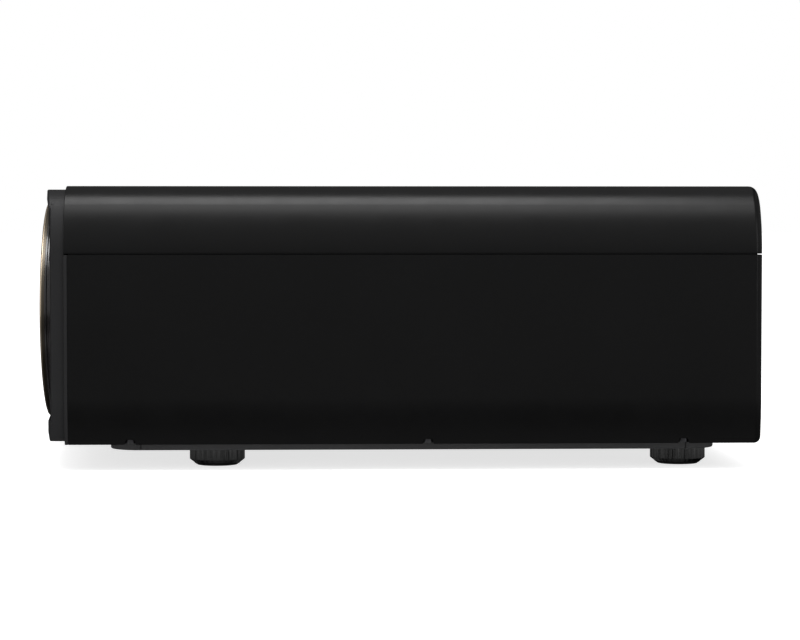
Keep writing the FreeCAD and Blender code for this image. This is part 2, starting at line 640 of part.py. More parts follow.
def make_lens_surround():
    ring = turned("ring_body", [
        ("ring_front", "ring_land"), ("ring_front", "ring_radius - trim_width"),
        ("ring_front + trim_depth", "ring_radius - trim_width"),
        ("ring_front + trim_depth", "ring_radius"), ("ring_back", "ring_radius"),
        ("ring_back", "ring_throat"), ("ring_throat_front", "ring_throat"),
    ])
    lugs = []
    for side, sign in (("left", 1), ("right", -1)):
        lugs.append(lens_box(f"ring_lug_{side}", on_side(sign, "ring_radius - 2", "lug_end"),
                             ("lug_front", "ring_back"), ("-lug_half_tall", "lug_half_tall")))
    sub_part(join("lens_ring", [on_lens_axis(ring)] + lugs), "lens_ring")
    trim = turned("lens_trim_ring", [
        ("ring_front + 0.3", "ring_radius - trim_width"), ("ring_front", "ring_radius - trim_width + 0.3"),
        ("ring_front", "ring_radius - 0.4"), ("ring_front + 0.4", "ring_radius"),
        ("ring_front + trim_depth", "ring_radius"),
        ("ring_front + trim_depth", "ring_radius - trim_width"),
    ])
    sub_part(on_lens_axis(trim), "lens_trim_ring")
    steps = 4
    first = "(ring_back + cone_wall)"
    last = "(cone_back - cone_wall)"
    fall = "(ring_throat - cone_back_radius)"
    corners = [("ring_back", "cone_flange_radius"), ("ring_back", "ring_throat")]
    for index in range(1, steps + 1):
        along = f"{first} + {index / steps} * ({last} - {first})"
        corners.append((along, f"ring_throat - {(index - 1) / steps} * {fall}"))
        corners.append((along, f"ring_throat - {index / steps} * {fall}"))
    corners.append(("cone_back", "cone_back_radius"))
    corners.append(("cone_back", "cone_back_radius + 3 * cone_wall"))
    corners.append((first, "cone_flange_radius - 2.5 * cone_wall"))
    corners.append((first, "cone_flange_radius"))
    sub_part(on_lens_axis(turned("lens_cone", corners)), "lens_cone")


# ---------------------------------------------------------------- feet and screws

def make_feet():
    bushes = []
    for name, (x, y) in foot_spots().items():
        knob = turned(f"foot_knob_{name}", [
            ("knob_bottom", "pin_radius + pin_clearance"), ("knob_bottom", "knob_bottom_radius"),
            ("chamfer_height", "knob_radius"), ("knob_top", "knob_radius"),
            ("knob_top", "stem_radius"), ("stem_top", "stem_radius"), ("stem_top", "0"),
            ("socket_top", "0"), ("socket_top", "pin_radius + pin_clearance"),
        ], "z")
        sketch = new_sketch(knob, f"knurl_outline_{name}", "XY_Plane", "knob_bottom - 1")
        add_circle(sketch, "knurl_centre", 0, "knurl_radius")
        knurl = pocket(knob, sketch, f"knurl_{name}", "knob_top - knob_bottom + 2", reverse=True)
        ring_pattern(knob, knurl, sketch, f"knurls_{name}", "knurl_count")
        sub_part(place(knob, x, y, 0), f"foot_knob_{name}")
        sole = turned(f"foot_sole_{name}", [
            ("0", "0"), ("0", "sole_radius"), ("sole_thick", "sole_top_radius"),
            ("sole_thick", "pin_radius"), ("pin_top", "pin_radius"), ("pin_top", "0"),
        ], "z")
        sub_part(place(sole, x, y, 0), f"foot_sole_{name}")
        bushes.append(cut(f"foot_bush_{name}", rod(f"bush_{name}", "z", (x, y, "plate_bottom"),
                                                   "bush_top - plate_bottom", "bush_radius"),
                          [rod(f"bush_bore_{name}", "z", (x, y, "plate_bottom - 5"), 40, "bush_bore")]))
    sub_part(group("foot_bushes", bushes), "foot_bushes")


def make_case_screws():
    screws = []
    for index, (x, y) in enumerate(screw_spots()):
        head = rod(f"screw_head_{index}", "z", (x, y, "recess_top - screw_head_height"),
                   "screw_head_height", "screw_head_radius")
        drive = []
        for arm, (half_x, half_y) in enumerate(((2.2, 0.5), (0.5, 2.2))):
            drive.append(box(f"screw_drive_{index}_{arm}", (f"{x} - {half_x}", f"{x} + {half_x}"),
                             (f"{y} - {half_y}", f"{y} + {half_y}"),
                             ("recess_top - screw_head_height - 1", "recess_top - screw_head_height + 1.2")))
        shank = rod(f"screw_shank_{index}", "z", (x, y, "recess_top"), "screw_top - recess_top",
                    "screw_shank - seat_gap")
        screws.append(cut(f"case_screw_{index}", join(f"screw_blank_{index}", [head, shank]), drive))
    sub_part(group("case_screws", screws), "case_screws")


# ---------------------------------------------------------------- rear terminals and keys

def socket_block(name, x, z, kind, socket_hollow):
    """Shell of a socket behind the terminal plate, open to the rear, centred on (x, z)."""
    open_wide, open_tall = socket_hollow
    block = box(f"{name}_block", between(x, f"{kind}_wide / 2"),
                (f"terminal_back - {kind}_deep", "terminal_back"), between(z, f"{kind}_tall / 2"))
    cavity = box(f"{name}_cavity", between(x, open_wide / 2),
                 (f"terminal_back - {kind}_deep + socket_floor", "terminal_back + 5"),
                 between(z, open_tall / 2))
    return cut(f"{name}_shell", block, [cavity])


def socket_window(name, x, z, kind):
    """Cutter for a socket's opening in the terminal plate."""
    return box(f"{name}_window", between(x, f"{kind}_wide / 2"), between("terminal_back", 10),
               between(z, f"{kind}_tall / 2"))


def make_video_sockets():
    sockets = []
    for side in ("left", "right"):
        name = f"video_{side}"
        shell = socket_block(name, name, "terminal_line", "video", (14.2, 4.8))
        tongue = box(f"{name}_tongue", between(name, 5.5),
                     ("terminal_back - video_deep + 1", "terminal_back - 2"),
                     between("terminal_line", 0.5))
        sockets.append(join(f"{name}_socket", [shell, tongue]))
    sub_part(group("video_sockets", sockets), "video_sockets")


def make_network_socket():
    shell = socket_block("network", "network_x", "terminal_line", "network", (11.8, 9.0))
    notch = box("network_latch", between("network_x", 3), ("terminal_back - 8", "terminal_back + 5"),
                ("terminal_line - 6", "terminal_line"))
    contacts = []
    for index in range(8):
        left = f"network_x + {index - 4} * contact_pitch"
        contacts.append(box(f"network_contact_{index}", (left, f"{left} + contact_pitch / 2"),
                            ("terminal_back - 14.8", "terminal_back - 5"),
                            ("terminal_line + 3.6", "terminal_line + 5")))
    case = cut("network_case", shell, [notch])
    sub_part(join("network_socket", [case] + contacts), "network_socket")


def make_trigger_jack():
    collar = rod("trigger_collar", "y", ("trigger_x", "terminal_back - 13", "terminal_line"),
                 "13 + trigger_proud", "trigger_radius")
    block = box("trigger_block", between("trigger_x", 5), ("terminal_back - 15", "terminal_back - 3"),
                between("terminal_line", 5))
    bore = rod("trigger_hole", "y", ("trigger_x", "terminal_back - 12.6", "terminal_line"), 20,
               "trigger_bore")
    sub_part(cut("trigger_jack", join("trigger_body", [collar, block]), [bore]), "trigger_jack")


def make_mains_inlet():
    shell = socket_block("mains", "mains_x", "mains_line", "mains", (24.6, 17.0))
    pins = []
    for name, x, z in (("live", -7, 2), ("neutral", 7, 2), ("earth", 0, -4)):
        pins.append(box(f"mains_{name}_pin", between(f"mains_x + {x}", 1),
                        ("terminal_back - mains_deep + 1", "terminal_back - 5.5"),
                        between(f"mains_line + {z}", 2)))
    sub_part(join("mains_inlet", [shell] + pins), "mains_inlet")


def make_terminals():
    make_video_sockets()
    make_network_socket()
    make_trigger_jack()
    make_mains_inlet()
    holes = [socket_window(name, x, z, kind) for name, x, z, kind in (
        ("video_left", "video_left", "terminal_line", "video"),
        ("video_right", "video_right", "terminal_line", "video"),
        ("network", "network_x", "terminal_line", "network"),
        ("mains", "mains_x", "mains_line", "mains"))]
    holes.append(rod("trigger_window", "y", ("trigger_x", "terminal_back - 10", "terminal_line"), 20,
                     "trigger_radius + seat_gap"))
    plate = box("terminal_sheet", ("-terminal_half_width + seat_gap", "terminal_half_width - seat_gap"),
                ("terminal_back - terminal_thick", "terminal_back"),
                ("terminal_low + seat_gap", "terminal_high - seat_gap"))
    sub_part(cut("terminal_plate", plate, holes), "terminal_plate")


def make_keys():
    switches = []
    for name, x in key_places().items():
        cap = turned(name, [
            ("key_inner_end", "0"), ("key_inner_end", "key_flange"), ("key_flange_end", "key_flange"),
            ("key_flange_end", "key_radius"), ("case_rear - 0.5", "key_radius"),
            ("case_rear", "key_radius - 0.5"), ("case_rear", "0"),
        ])
        sub_part(place(cap, x, 0, "key_line"), name)
        switches.append(box(f"{name}_switch", (f"{x} - switch_half", f"{x} + switch_half"),
                            ("key_board_rear", "switch_rear"),
                            ("key_line - switch_half", "key_line + switch_half")))
    board = box("key_board_sheet", ("-2 * key_pitch - key_dish_margin", "2 * key_pitch + key_dish_margin"),
                ("key_board_front", "key_board_rear"), ("key_line - 12", "key_line + 12"))
    sub_part(join("key_board", [board] + switches), "key_board")


# ---------------------------------------------------------------- fans

def make_fans():
    frames = []
    for sign, side in ((1, "left"), (-1, "right")):
        x = f"{sign} * fan_x"
        square = box(f"fan_square_{side}", between(x, "fan_half"), ("fan_front", "fan_rear"),
                     between("lens_height", "fan_half"))
        bore = rod(f"fan_bore_{side}", "y", (x, "fan_front - 5", "lens_height"),
                   "fan_rear - fan_front + 10", "fan_bore")
        duct = cut(f"fan_duct_{side}", square, [bore])
        struts = ("fan_rear - strut_thick", "fan_rear")
        arms = [
            box(f"fan_arm_level_{side}", between(x, "(fan_bore + 1)"), struts,
                between("lens_height", "strut_half")),
            box(f"fan_arm_upright_{side}", between(x, "strut_half"), struts,
                between("lens_height", "(fan_bore + 1)")),
            rod(f"fan_seat_{side}", "y", (x, "fan_rear - strut_thick", "lens_height"),
                "strut_thick", "fan_hub"),
            rod(f"fan_axle_{side}", "y", (x, "fan_hub_front + 3", "lens_height"),
                "fan_rear - fan_hub_front - 3", "fan_axle"),
        ]
        frames.append(join(f"fan_frame_{side}", [duct] + arms))
        hub = cut(f"fan_hub_{side}", rod(f"fan_boss_{side}", "y", (0, "fan_hub_front", 0),
                                         "fan_hub_rear - fan_hub_front", "fan_hub"),
                  [rod(f"fan_pivot_{side}", "y", (0, "fan_hub_front + 2.5", 0),
                       "fan_hub_rear - fan_hub_front", "fan_axle + shaft_clearance")])
        blades = []
        for index in range(int(SIZES["blade_count"])):
            blade = doc.addObject("Part::Box", f"blade_{side}_{index}")
            bind(blade, "Length", "blade_tip - fan_hub + 1")
            bind(blade, "Width", "blade_chord")
            bind(blade, "Height", "blade_thick")
            spread = FreeCAD.Rotation(FreeCAD.Vector(0, 1, 0), 360 * index / SIZES["blade_count"])
            lean = FreeCAD.Rotation(FreeCAD.Vector(1, 0, 0), SIZES["blade_pitch"])
            blade_turn = spread.multiply(lean)
            start = FreeCAD.Vector(SIZES["fan_hub"] - 1, -SIZES["blade_chord"] / 2, -SIZES["blade_thick"] / 2)
            offset = blade_turn.multVec(start)
            blade.Placement = FreeCAD.Placement(offset, blade_turn)
            bind(blade, "Placement.Base.y", f"{offset.y} + (fan_hub_front + fan_hub_rear) / 2")
            blades.append(blade)
        name = f"fan_rotor_{side}"
        sub_part(place(join(name, [hub] + blades), x, 0, "lens_height"), name)
    sub_part(group("fan_frames", frames), "fan_frames")


# ---------------------------------------------------------------- lens

def make_barrel():
    tube = on_lens_axis(turned("barrel_tube", [
        ("barrel_front", "hood_mouth"), ("barrel_front", "shade_radius"),
        ("barrel_front + shade_thick", "shade_radius"), ("barrel_front + shade_thick", "hood_radius"),
        ("hood_rear", "hood_radius"), ("hood_rear", "tube_radius"), ("tube_rear", "tube_radius"),
        ("lens_plate_rear", "tube_radius"), ("lens_plate_rear", "tail_radius"),
        ("tail_rear", "tail_radius"), ("tail_rear", "tail_bore"), ("tube_rear", "tail_bore"),
        ("tube_rear", "tube_bore"), ("front_glass_front", "tube_bore"),
    ]))
    pinion_x = "(gear_module * (ring_teeth + pinion_teeth) / 2 + gear_slack)"
    pieces = [
        tube,
        cut("lens_plate_blank", lens_box("lens_plate", ("-lens_plate_half_x", "lens_plate_half_x"),
                                         ("tube_rear", "lens_plate_rear"),
                                         ("-lens_plate_half_z", "lens_plate_half_z")),
            [rod("lens_plate_hole", "y", (0, "tube_rear - 5", "lens_height"), 30, "tail_bore")]),
        box("shift_nut", ("-nut_half", "nut_half"), ("tube_rear", "lens_plate_rear"),
            ("lens_height + lens_plate_half_z - 1", "horizontal_screw_z + lug_half")),
    ]
    holes = [rod("shift_nut_bore", "x", ("-nut_half - 5", "horizontal_screw_y", "horizontal_screw_z"),
                 "2 * nut_half + 10", "lead_radius + lead_clearance")]
    motors = []
    for sign, name in ((1, "focus"), (-1, "zoom")):
        ring_side = "hood_rear" if sign > 0 else "zoom_rear + 2"
        plate_y = (ring_side, f"{ring_side} + motor_plate_thick")
        pieces.append(lens_box(f"{name}_motor_plate", on_side(sign, "tube_radius - 2", "motor_plate_end"),
                               plate_y, ("-motor_plate_half", "motor_plate_half")))
        holes.append(rod(f"{name}_shaft_hole", "y",
                         (f"{sign} * {pinion_x}", f"{ring_side} - 5", "lens_height"),
                         20, "shaft_radius + 0.5"))
        if sign > 0:
            motor_y = f"{ring_side} - motor_length"
            shaft = (ring_side, "focus_rear + 1")
        else:
            motor_y = f"{ring_side} + motor_plate_thick"
            shaft = ("zoom_front - 1", f"{ring_side} + motor_plate_thick")
        can = rod(f"{name}_can", "y", (f"{sign} * {pinion_x}", motor_y, "lens_height"),
                  "motor_length", "motor_radius")
        spindle = rod(f"{name}_spindle", "y", (f"{sign} * {pinion_x}", shaft[0], "lens_height"),
                      f"({shaft[1]}) - ({shaft[0]})", "shaft_radius")
        motors.append(join(f"{name}_motor", [can, spindle]))
    bore = on_lens_axis(turned("barrel_bore", [
        ("tube_rear - 1", "0"), ("tube_rear - 1", "tube_bore"), ("hood_rear - 5", "tube_bore"),
        ("hood_rear - 5", "0"),
    ]))
    holes.append(bore)
    sub_part(cut("lens_barrel", join("barrel_body", pieces), holes), "lens_barrel")
    sub_part(group("lens_motors", motors), "lens_motors")


def make_glass(label, radius, front, rear, crown):
    """Biconvex glass: a cylinder topped by two spherical caps, cut from one ball each side."""
    ball_radius = f"(({radius}) * ({radius}) + ({crown}) * ({crown})) / (2 * ({crown}))"
    disc = rod(f"{label}_disc", "y", (0, front, "lens_height"), f"({rear}) - ({front})", radius)
    balls = []
    for name, centre in (("near", f"{front} + {ball_radius}"), ("far", f"{rear} - {ball_radius}")):
        ball = doc.addObject("Part::Sphere", f"{label}_{name}")
        bind(ball, "Radius", ball_radius)
        balls.append(place(ball, 0, centre, "lens_height"))
    return sub_part(overlap(label, [disc] + balls), label)


def make_gear(label, teeth, bore, tip_half, root_half, front, rear, x, phase):
    """Spur gear round the Y direction, its teeth on one pitch for ring and pinion."""
    body = doc.addObject("PartDesign::Body", label)
    pitch_radius = f"gear_module * {teeth} / 2"
    rim = new_sketch(body, f"{label}_rim", "XZ_Plane", f"-({rear})")
    add_circle(rim, 0, 0, f"{pitch_radius} - tooth_below")
    add_circle(rim, 0, 0, bore)
    pad(body, rim, f"{label}_rim_pad", f"({rear}) - ({front})")
    outline = new_sketch(body, f"{label}_tooth", "XZ_Plane", f"-({rear})")
    add_loop(outline, [
        (f"{pitch_radius} - tooth_below - 0.6", f"-{root_half}"),
        (f"{pitch_radius} - tooth_below", f"-{root_half}"),
        (f"{pitch_radius} + tooth_above", f"-{tip_half}"),
        (f"{pitch_radius} + tooth_above", tip_half),
        (f"{pitch_radius} - tooth_below", root_half),
        (f"{pitch_radius} - tooth_below - 0.6", root_half),
    ])
    tooth = pad(body, outline, f"{label}_tooth_pad", f"({rear}) - ({front})")
    ring_pattern(body, tooth, outline, f"{label}_teeth", teeth)
    turn = FreeCAD.Rotation(FreeCAD.Vector(0, 1, 0), phase)
    return sub_part(place(body, x, 0, "lens_height", turn), label)


def make_lens():
    make_barrel()
    make_glass("front_lens", "front_glass_radius", "front_glass_front + seat_gap", "front_glass_rear",
               "front_glass_crown")
    make_glass("rear_lens", "rear_glass_radius", "rear_glass_front", "rear_glass_rear", "rear_glass_crown")
    apart = "(gear_module * (ring_teeth + pinion_teeth) / 2 + gear_slack)"
    half_tooth = 180 / SIZES["pinion_teeth"]
    for sign, name in ((1, "focus"), (-1, "zoom")):
        make_gear(f"{name}_ring", "ring_teeth", "ring_bore", "ring_tip_half", "ring_root_half",
                  f"{name}_front", f"{name}_rear", 0, 0)
        make_gear(f"{name}_pinion", "pinion_teeth", "shaft_radius + shaft_clearance",
                  "pinion_tip_half", "pinion_root_half", f"{name}_front", f"{name}_rear",
                  f"{sign} * {apart}", half_tooth)


# ---------------------------------------------------------------- lens shift

def make_shift():
    carriage = [
        lens_box("carriage_sheet", ("-carriage_half_x", "carriage_half_x"),
                 ("carriage_front", "carriage_rear"),
                 ("-carriage_half_z", "carriage_half_z + lug_half + 4")),
        lens_box("carriage_nut", ("carriage_half_x - 1", "vertical_screw_x + lug_half"),
                 ("carriage_front", "carriage_rear"), ("-nut_half", "nut_half")),
    ]
    holes = [
        rod("carriage_hole", "y", (0, "carriage_front - 5", "lens_height"), 20, "carriage_window"),
        rod("carriage_nut_bore", "z", ("vertical_screw_x", "vertical_screw_y", "lens_height - 20"), 40,
            "lead_radius + lead_clearance"),
    ]
    for sign, side in ((1, "left"), (-1, "right")):
        middle = f"{sign} * (horizontal_screw_end - lug_thick / 2)"
        carriage.append(box(f"carriage_lug_{side}", between(middle, "lug_thick / 2"),
                            ("horizontal_screw_y - lead_radius - 2", "carriage_front + 1"),
                            between("horizontal_screw_z", "lug_half")))
    holes.append(rod("carriage_screw_bore", "x", ("-horizontal_screw_end - 5", "horizontal_screw_y",
                                                  "horizontal_screw_z"),
                     "2 * horizontal_screw_end + 10", "lead_radius + lead_clearance"))
    sub_part(cut("vertical_carriage", join("carriage_body", carriage), holes), "vertical_carriage")

    mount = [
        box("mount_sheet", ("-mount_half_x", "mount_half_x"), ("mount_front", "mount_rear"),
            ("case_bottom + case_wall", "mount_top")),
        box("mount_foot", ("-mount_half_x", "mount_half_x"), ("mount_rear - 1", "mount_foot_rear"),
            ("case_bottom + case_wall", "case_bottom + case_wall + mount_foot_thick")),
    ]
    for name, level in (("low", "vertical_screw_low"), ("high", "vertical_screw_high")):
        mount.append(box(f"mount_lug_{name}", between("vertical_screw_x", "lug_half"),
                         ("vertical_screw_y - lug_half", "mount_front + 1"),
                         between(level, "lug_thick / 2")))
    holes = [
        rod("mount_hole", "y", (0, "mount_front - 5", "lens_height"), 20, "mount_window"),
        rod("mount_screw_bore", "z", ("vertical_screw_x", "vertical_screw_y", "vertical_screw_low - 10"),
            "vertical_screw_high - vertical_screw_low + 20", "lead_radius + lead_clearance"),
    ]
    sub_part(cut("lens_mount", join("mount_body", mount), holes), "lens_mount")

    upright = rod("vertical_screw", "z", ("vertical_screw_x", "vertical_screw_y",
                                          "vertical_screw_low - lug_thick / 2"),
                  "vertical_screw_high - vertical_screw_low + lug_thick", "lead_radius")
    sub_part(upright, "vertical_screw")
    level = rod("horizontal_screw", "x",
                ("-horizontal_screw_end", "horizontal_screw_y", "horizontal_screw_z"),
                "2 * horizontal_screw_end", "lead_radius")
    sub_part(level, "horizontal_screw")
    sub_part(box("vertical_shift_motor", between("vertical_screw_x", 9),
                 ("vertical_screw_y - 9", "mount_front"),
                 ("case_bottom + case_wall", "vertical_screw_low - lug_thick / 2 - motor_gap")),
             "vertical_shift_motor")
    sub_part(box("horizontal_shift_motor",
                 ("horizontal_screw_end + motor_gap", "horizontal_screw_end + 22"),
                 ("carriage_front - 14", "carriage_front"),
                 ("horizontal_screw_z - 9", "horizontal_screw_z + 6")), "horizontal_shift_motor")


# ---------------------------------------------------------------- light engine

def make_engine():
    outer = box("engine_block", ("-engine_half_x", "engine_half_x"), ("engine_front", "engine_rear"),
                ("engine_low", "engine_high"))
    inner = box("engine_hollow", ("-engine_half_x + engine_wall", "engine_half_x - engine_wall"),
                ("engine_front + engine_wall", "engine_rear - engine_wall"),
                ("engine_low + engine_wall", "engine_high - engine_wall"))
    port = rod("engine_lens_port", "y", (0, "engine_front - 5", "lens_height"), 20, "engine_port")
    light = rod("engine_light_port", "x", ("-engine_half_x - 5", "light_port_y", "lens_height"), 20,
                "light_port_half")
    shell = cut("engine_shell", outer, [inner, port, light])
    stand = box("engine_stand", ("-prism_half", "prism_half"), between("prism_y", "prism_half"),
                ("engine_low + engine_wall - 1", "lens_height - prism_half"))
    legs = []
    for index, (sign_x, line) in enumerate(((1, "engine_front"), (1, "engine_rear - 16"),
                                            (-1, "engine_front"), (-1, "engine_rear - 16"))):
        middle = f"{sign_x} * (engine_half_x - 8)"
        legs.append(box(f"engine_leg_{index}", between(middle, 8), (line, f"{line} + 16"),
                        ("case_bottom + case_wall", "engine_low + 1")))
    sub_part(join("engine_housing", [shell, stand] + legs), "engine_housing")

    cube = box("prism_cube", ("-prism_half", "prism_half"), between("prism_y", "prism_half"),
               between("lens_height", "prism_half"))
    bevels = doc.addObject("Part::Chamfer", "imaging_prism")
    bevels.Base = cube
    bevels.Edges = [(index, 0.6, 0.6) for index in range(1, 13)]
    sub_part(bevels, "imaging_prism")

    imagers = []
    for index, (across, along) in enumerate(((1, 0), (-1, 0), (0, 1))):
        near = "prism_half + imager_gap"
        far = f"{near} + imager_thick"
        deep = f"{far} + sink_depth"
        pieces = []
        fins = 5
        spans = [(near, far, "-imager_half", "imager_half")]
        for fin in range(fins):
            start = f"-imager_half + {fin / (fins - 1)} * (2 * imager_half - fin_thick)"
            spans.append((f"{far} - 0.5", deep, start, f"{start} + fin_thick"))
        for step, (low, high, left, right) in enumerate(spans):
            if across > 0:
                x, y = (low, high), (f"prism_y + {left}", f"prism_y + {right}")
            elif across < 0:
                x, y = (f"-({high})", f"-({low})"), (f"prism_y + {left}", f"prism_y + {right}")
            else:
                x, y = (left, right), (f"prism_y + {low}", f"prism_y + {high}")
            pieces.append(lens_box(f"imager_{index}_{step}", x, y, ("-imager_half", "imager_half")))
        imagers.append(join(f"imager_{index}", pieces))
    sub_part(group("imaging_panels", imagers), "imaging_panels")


def make_light_source():
    block = box("laser_block", ("laser_left", "laser_right"), ("laser_front", "laser_rear"),
                ("laser_low", "laser_high"))
    nose = rod("laser_lens", "x", ("laser_right - 1", "(laser_front + laser_rear) / 2", "wheel_z"),
               "laser_nose + 1", "laser_nose_radius")
    pipes = []
    laser_holes = []
    cooler_holes = []
    length = "laser_front + pipe_depth - cooler_front - 5"
    for index in (-1, 0, 1):
        start = (f"pipe_middle + {index} * pipe_pitch", "cooler_front + 5", "pipe_height")
        pipes.append(rod(f"heat_pipe_{index + 1}", "y", start, length, "pipe_radius"))
        laser_holes.append(rod(f"laser_bore_{index + 1}", "y", start, length, "pipe_radius"))
        cooler_holes.append(rod(f"cooler_bore_{index + 1}", "y", start, length, "pipe_radius"))
    sub_part(cut("laser_module", join("laser_body", [block, nose]), laser_holes), "laser_module")
    sub_part(group("heat_pipes", pipes), "heat_pipes")
    base = box("cooler_slab", ("cooler_left", "cooler_right"), ("cooler_front", "cooler_rear"),
               ("cooler_low", "cooler_low + cooler_base"))
    fins = []
    count = int(SIZES["fin_count"])
    for index in range(count):
        start = f"cooler_left + {index / (count - 1)} * (cooler_right - cooler_left - fin_thick)"
        fins.append(box(f"cooler_fin_{index}", (start, f"{start} + fin_thick"),
                        ("cooler_front", "cooler_rear"), ("cooler_low + cooler_base - 1", "cooler_high")))
    sub_part(cut("laser_heat_sink", join("cooler_body", [base] + fins), cooler_holes), "laser_heat_sink")

    disc = rod("wheel_disc", "x", ("wheel_x", 0, 0), "wheel_thick", "wheel_radius")
    hub = rod("wheel_hub", "x", ("wheel_x", 0, 0), "wheel_hub_thick", "wheel_hub")
    pivot = rod("wheel_pivot", "x", ("wheel_x - 5", 0, 0), 20, "wheel_axle + shaft_clearance")
    wheel = cut("phosphor_wheel", join("wheel_blank", [disc, hub]), [pivot])
    sub_part(place(wheel, 0, "wheel_y", "wheel_z"), "phosphor_wheel")
    can = rod("wheel_can", "x", ("wheel_x + wheel_hub_thick + 0.4", "wheel_y", "wheel_z"),
              "wheel_motor_length", "wheel_motor_radius")
    axle = rod("wheel_spindle", "x", ("wheel_x - 1", "wheel_y", "wheel_z"),
               "wheel_hub_thick + 3", "wheel_axle")
    stand = box("wheel_stand", ("wheel_x + wheel_hub_thick + 4", "wheel_x + wheel_hub_thick + 12"),
                ("wheel_y - 8", "wheel_y + 8"), ("case_bottom + case_wall", "wheel_z"))
    sub_part(join("wheel_motor", [can, axle, stand]), "wheel_motor")


# ---------------------------------------------------------------- boards

def board_posts(name, lines, level):
    """Posts a board stands on; lines are the posts' (x, y)."""
    return [rod(f"{name}_post_{index}", "z", (x, y, "case_bottom + case_wall"),
                f"{level} - case_bottom - case_wall + 0.5", "post_radius")
            for index, (x, y) in enumerate(lines)]


def make_boards():
    main = [box("main_sheet", ("-board_half_x", "board_half_x"), ("board_front", "board_rear"),
                ("board_low", "board_low + board_thick"))]
    for index, (x, y, half, tall) in enumerate(CHIPS):
        main.append(box(f"chip_{index}", between(x, half), between(y, half),
                        ("board_low + board_thick - 0.5", f"board_low + board_thick + {tall}")))
    spots = [(f"{sign} * (board_half_x - 8)", y) for sign in (1, -1)
             for y in ("board_front + 8", "board_rear - 12")]
    sub_part(join("main_board", main + board_posts("main", spots, "board_low")), "main_board")
    power = [box("power_sheet", ("power_left", "power_right"), ("power_front", "power_rear"),
                 ("power_low", "power_low + board_thick"))]
    top = "power_low + board_thick"
    for index, (x, y) in enumerate(CAPACITORS):
        power.append(rod(f"capacitor_{index}", "z", (x, y, f"{top} - 0.5"),
                         "capacitor_height", "capacitor_radius"))
    for index, (x, y, wide, deep, tall) in enumerate(COILS):
        power.append(box(f"coil_{index}", between(x, wide / 2), between(y, deep / 2),
                         (f"{top} - 0.5", f"{top} + {tall}")))
    spots = [(x, y) for x in ("power_left + 8", "power_right - 8")
             for y in ("power_front + 8", "power_rear - 8")]
    sub_part(join("power_board", power + board_posts("power", spots, "power_low")), "power_board")


make_top_cover()
make_lower_case()
make_base_plate()
make_front_panel()
for side_name, side_sign in (("left", 1), ("right", -1)):
    make_exhaust_grille(side_name, side_sign)
make_intake_grilles()
make_lights()
make_lens_surround()
make_feet()
make_case_screws()
make_terminals()
make_keys()
make_fans()
make_lens()
make_shift()
make_engine()
make_light_source()
make_boards()
doc.recompute()

faults = [item.Name for item in doc.Objects if {"Invalid", "Error"} & set(item.State)]
for piece in sub_parts:
    if piece.Shape.isNull() or not piece.Shape.isValid() or not piece.Shape.Solids:
        faults.append(piece.Label)
if faults:
    raise RuntimeError(f"failed: {faults}")

os.makedirs("parts", exist_ok=True)
for piece in sub_parts:
    piece.Shape.exportStep(f"parts/{piece.Label}.step")
    print(f"{piece.Label}: {len(piece.Shape.Solids)} solid(s), {piece.Shape.Volume / 1000:.1f} cm3")
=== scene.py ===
import math
import bmesh
import bpy
from mathutils import Matrix, Vector, geometry
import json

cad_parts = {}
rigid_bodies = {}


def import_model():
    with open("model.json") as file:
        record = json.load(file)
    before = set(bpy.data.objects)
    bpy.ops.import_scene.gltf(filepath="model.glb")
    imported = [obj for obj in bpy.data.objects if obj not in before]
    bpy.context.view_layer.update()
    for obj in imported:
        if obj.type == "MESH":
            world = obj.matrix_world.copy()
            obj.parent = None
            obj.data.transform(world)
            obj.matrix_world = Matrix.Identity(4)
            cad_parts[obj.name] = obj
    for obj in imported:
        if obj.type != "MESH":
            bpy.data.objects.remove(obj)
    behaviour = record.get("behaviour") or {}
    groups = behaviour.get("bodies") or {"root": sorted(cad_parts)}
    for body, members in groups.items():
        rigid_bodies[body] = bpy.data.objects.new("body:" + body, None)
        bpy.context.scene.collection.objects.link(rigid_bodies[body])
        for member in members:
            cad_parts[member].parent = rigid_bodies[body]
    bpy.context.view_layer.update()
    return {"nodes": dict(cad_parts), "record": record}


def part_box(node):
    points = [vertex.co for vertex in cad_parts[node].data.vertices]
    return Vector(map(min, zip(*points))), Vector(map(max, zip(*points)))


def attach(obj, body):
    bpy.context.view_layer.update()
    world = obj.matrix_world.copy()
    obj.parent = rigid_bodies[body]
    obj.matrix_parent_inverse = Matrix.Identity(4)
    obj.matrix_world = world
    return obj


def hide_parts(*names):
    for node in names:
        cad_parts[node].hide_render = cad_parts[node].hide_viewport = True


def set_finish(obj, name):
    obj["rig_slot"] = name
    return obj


# Home projector, front towards -Y, standing on its four screw feet.  Metres throughout.

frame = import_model()
scene = bpy.context.scene
MM = 0.001


# ---------------------------------------------------------------- where things are, from the frame

def middle(node):
    a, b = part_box(node)
    return (a + b) / 2


def low(node):
    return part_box(node)[0]


def high(node):
    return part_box(node)[1]


CASE_FRONT = low("top_cover").y
CASE_REAR = high("top_cover").y
CASE_TOP = high("top_cover").z
CASE_BOTTOM = low("lower_case").z
HALF_WIDTH = high("lower_case").x
SEAM_HIGH = low("top_cover").z
SEAM_LOW = SEAM_HIGH - 0.6 * MM
FLANGE_BACK = low("lower_case").y
RING_FRONT = low("lens_ring").y
LENS_HEIGHT = (low("lens_ring").z + high("lens_ring").z) / 2

# the case's rounded section: two shoulder radii, their angle, and the curl under the side
SHOULDER_LOW = 60 * MM
SHOULDER_HIGH = 24 * MM
SHOULDER_ANGLE = math.radians(30)
CURL = 126.8 * MM
CURL_ANGLE = math.radians(13.7)
REAR_ROUNDING = 5 * MM
PANEL_INSET = 2.3 * MM
COVER_WALL = 3.0 * MM
CASE_WALL = 3.4 * MM

FEET = ("front_left", "front_right", "rear_left", "rear_right")

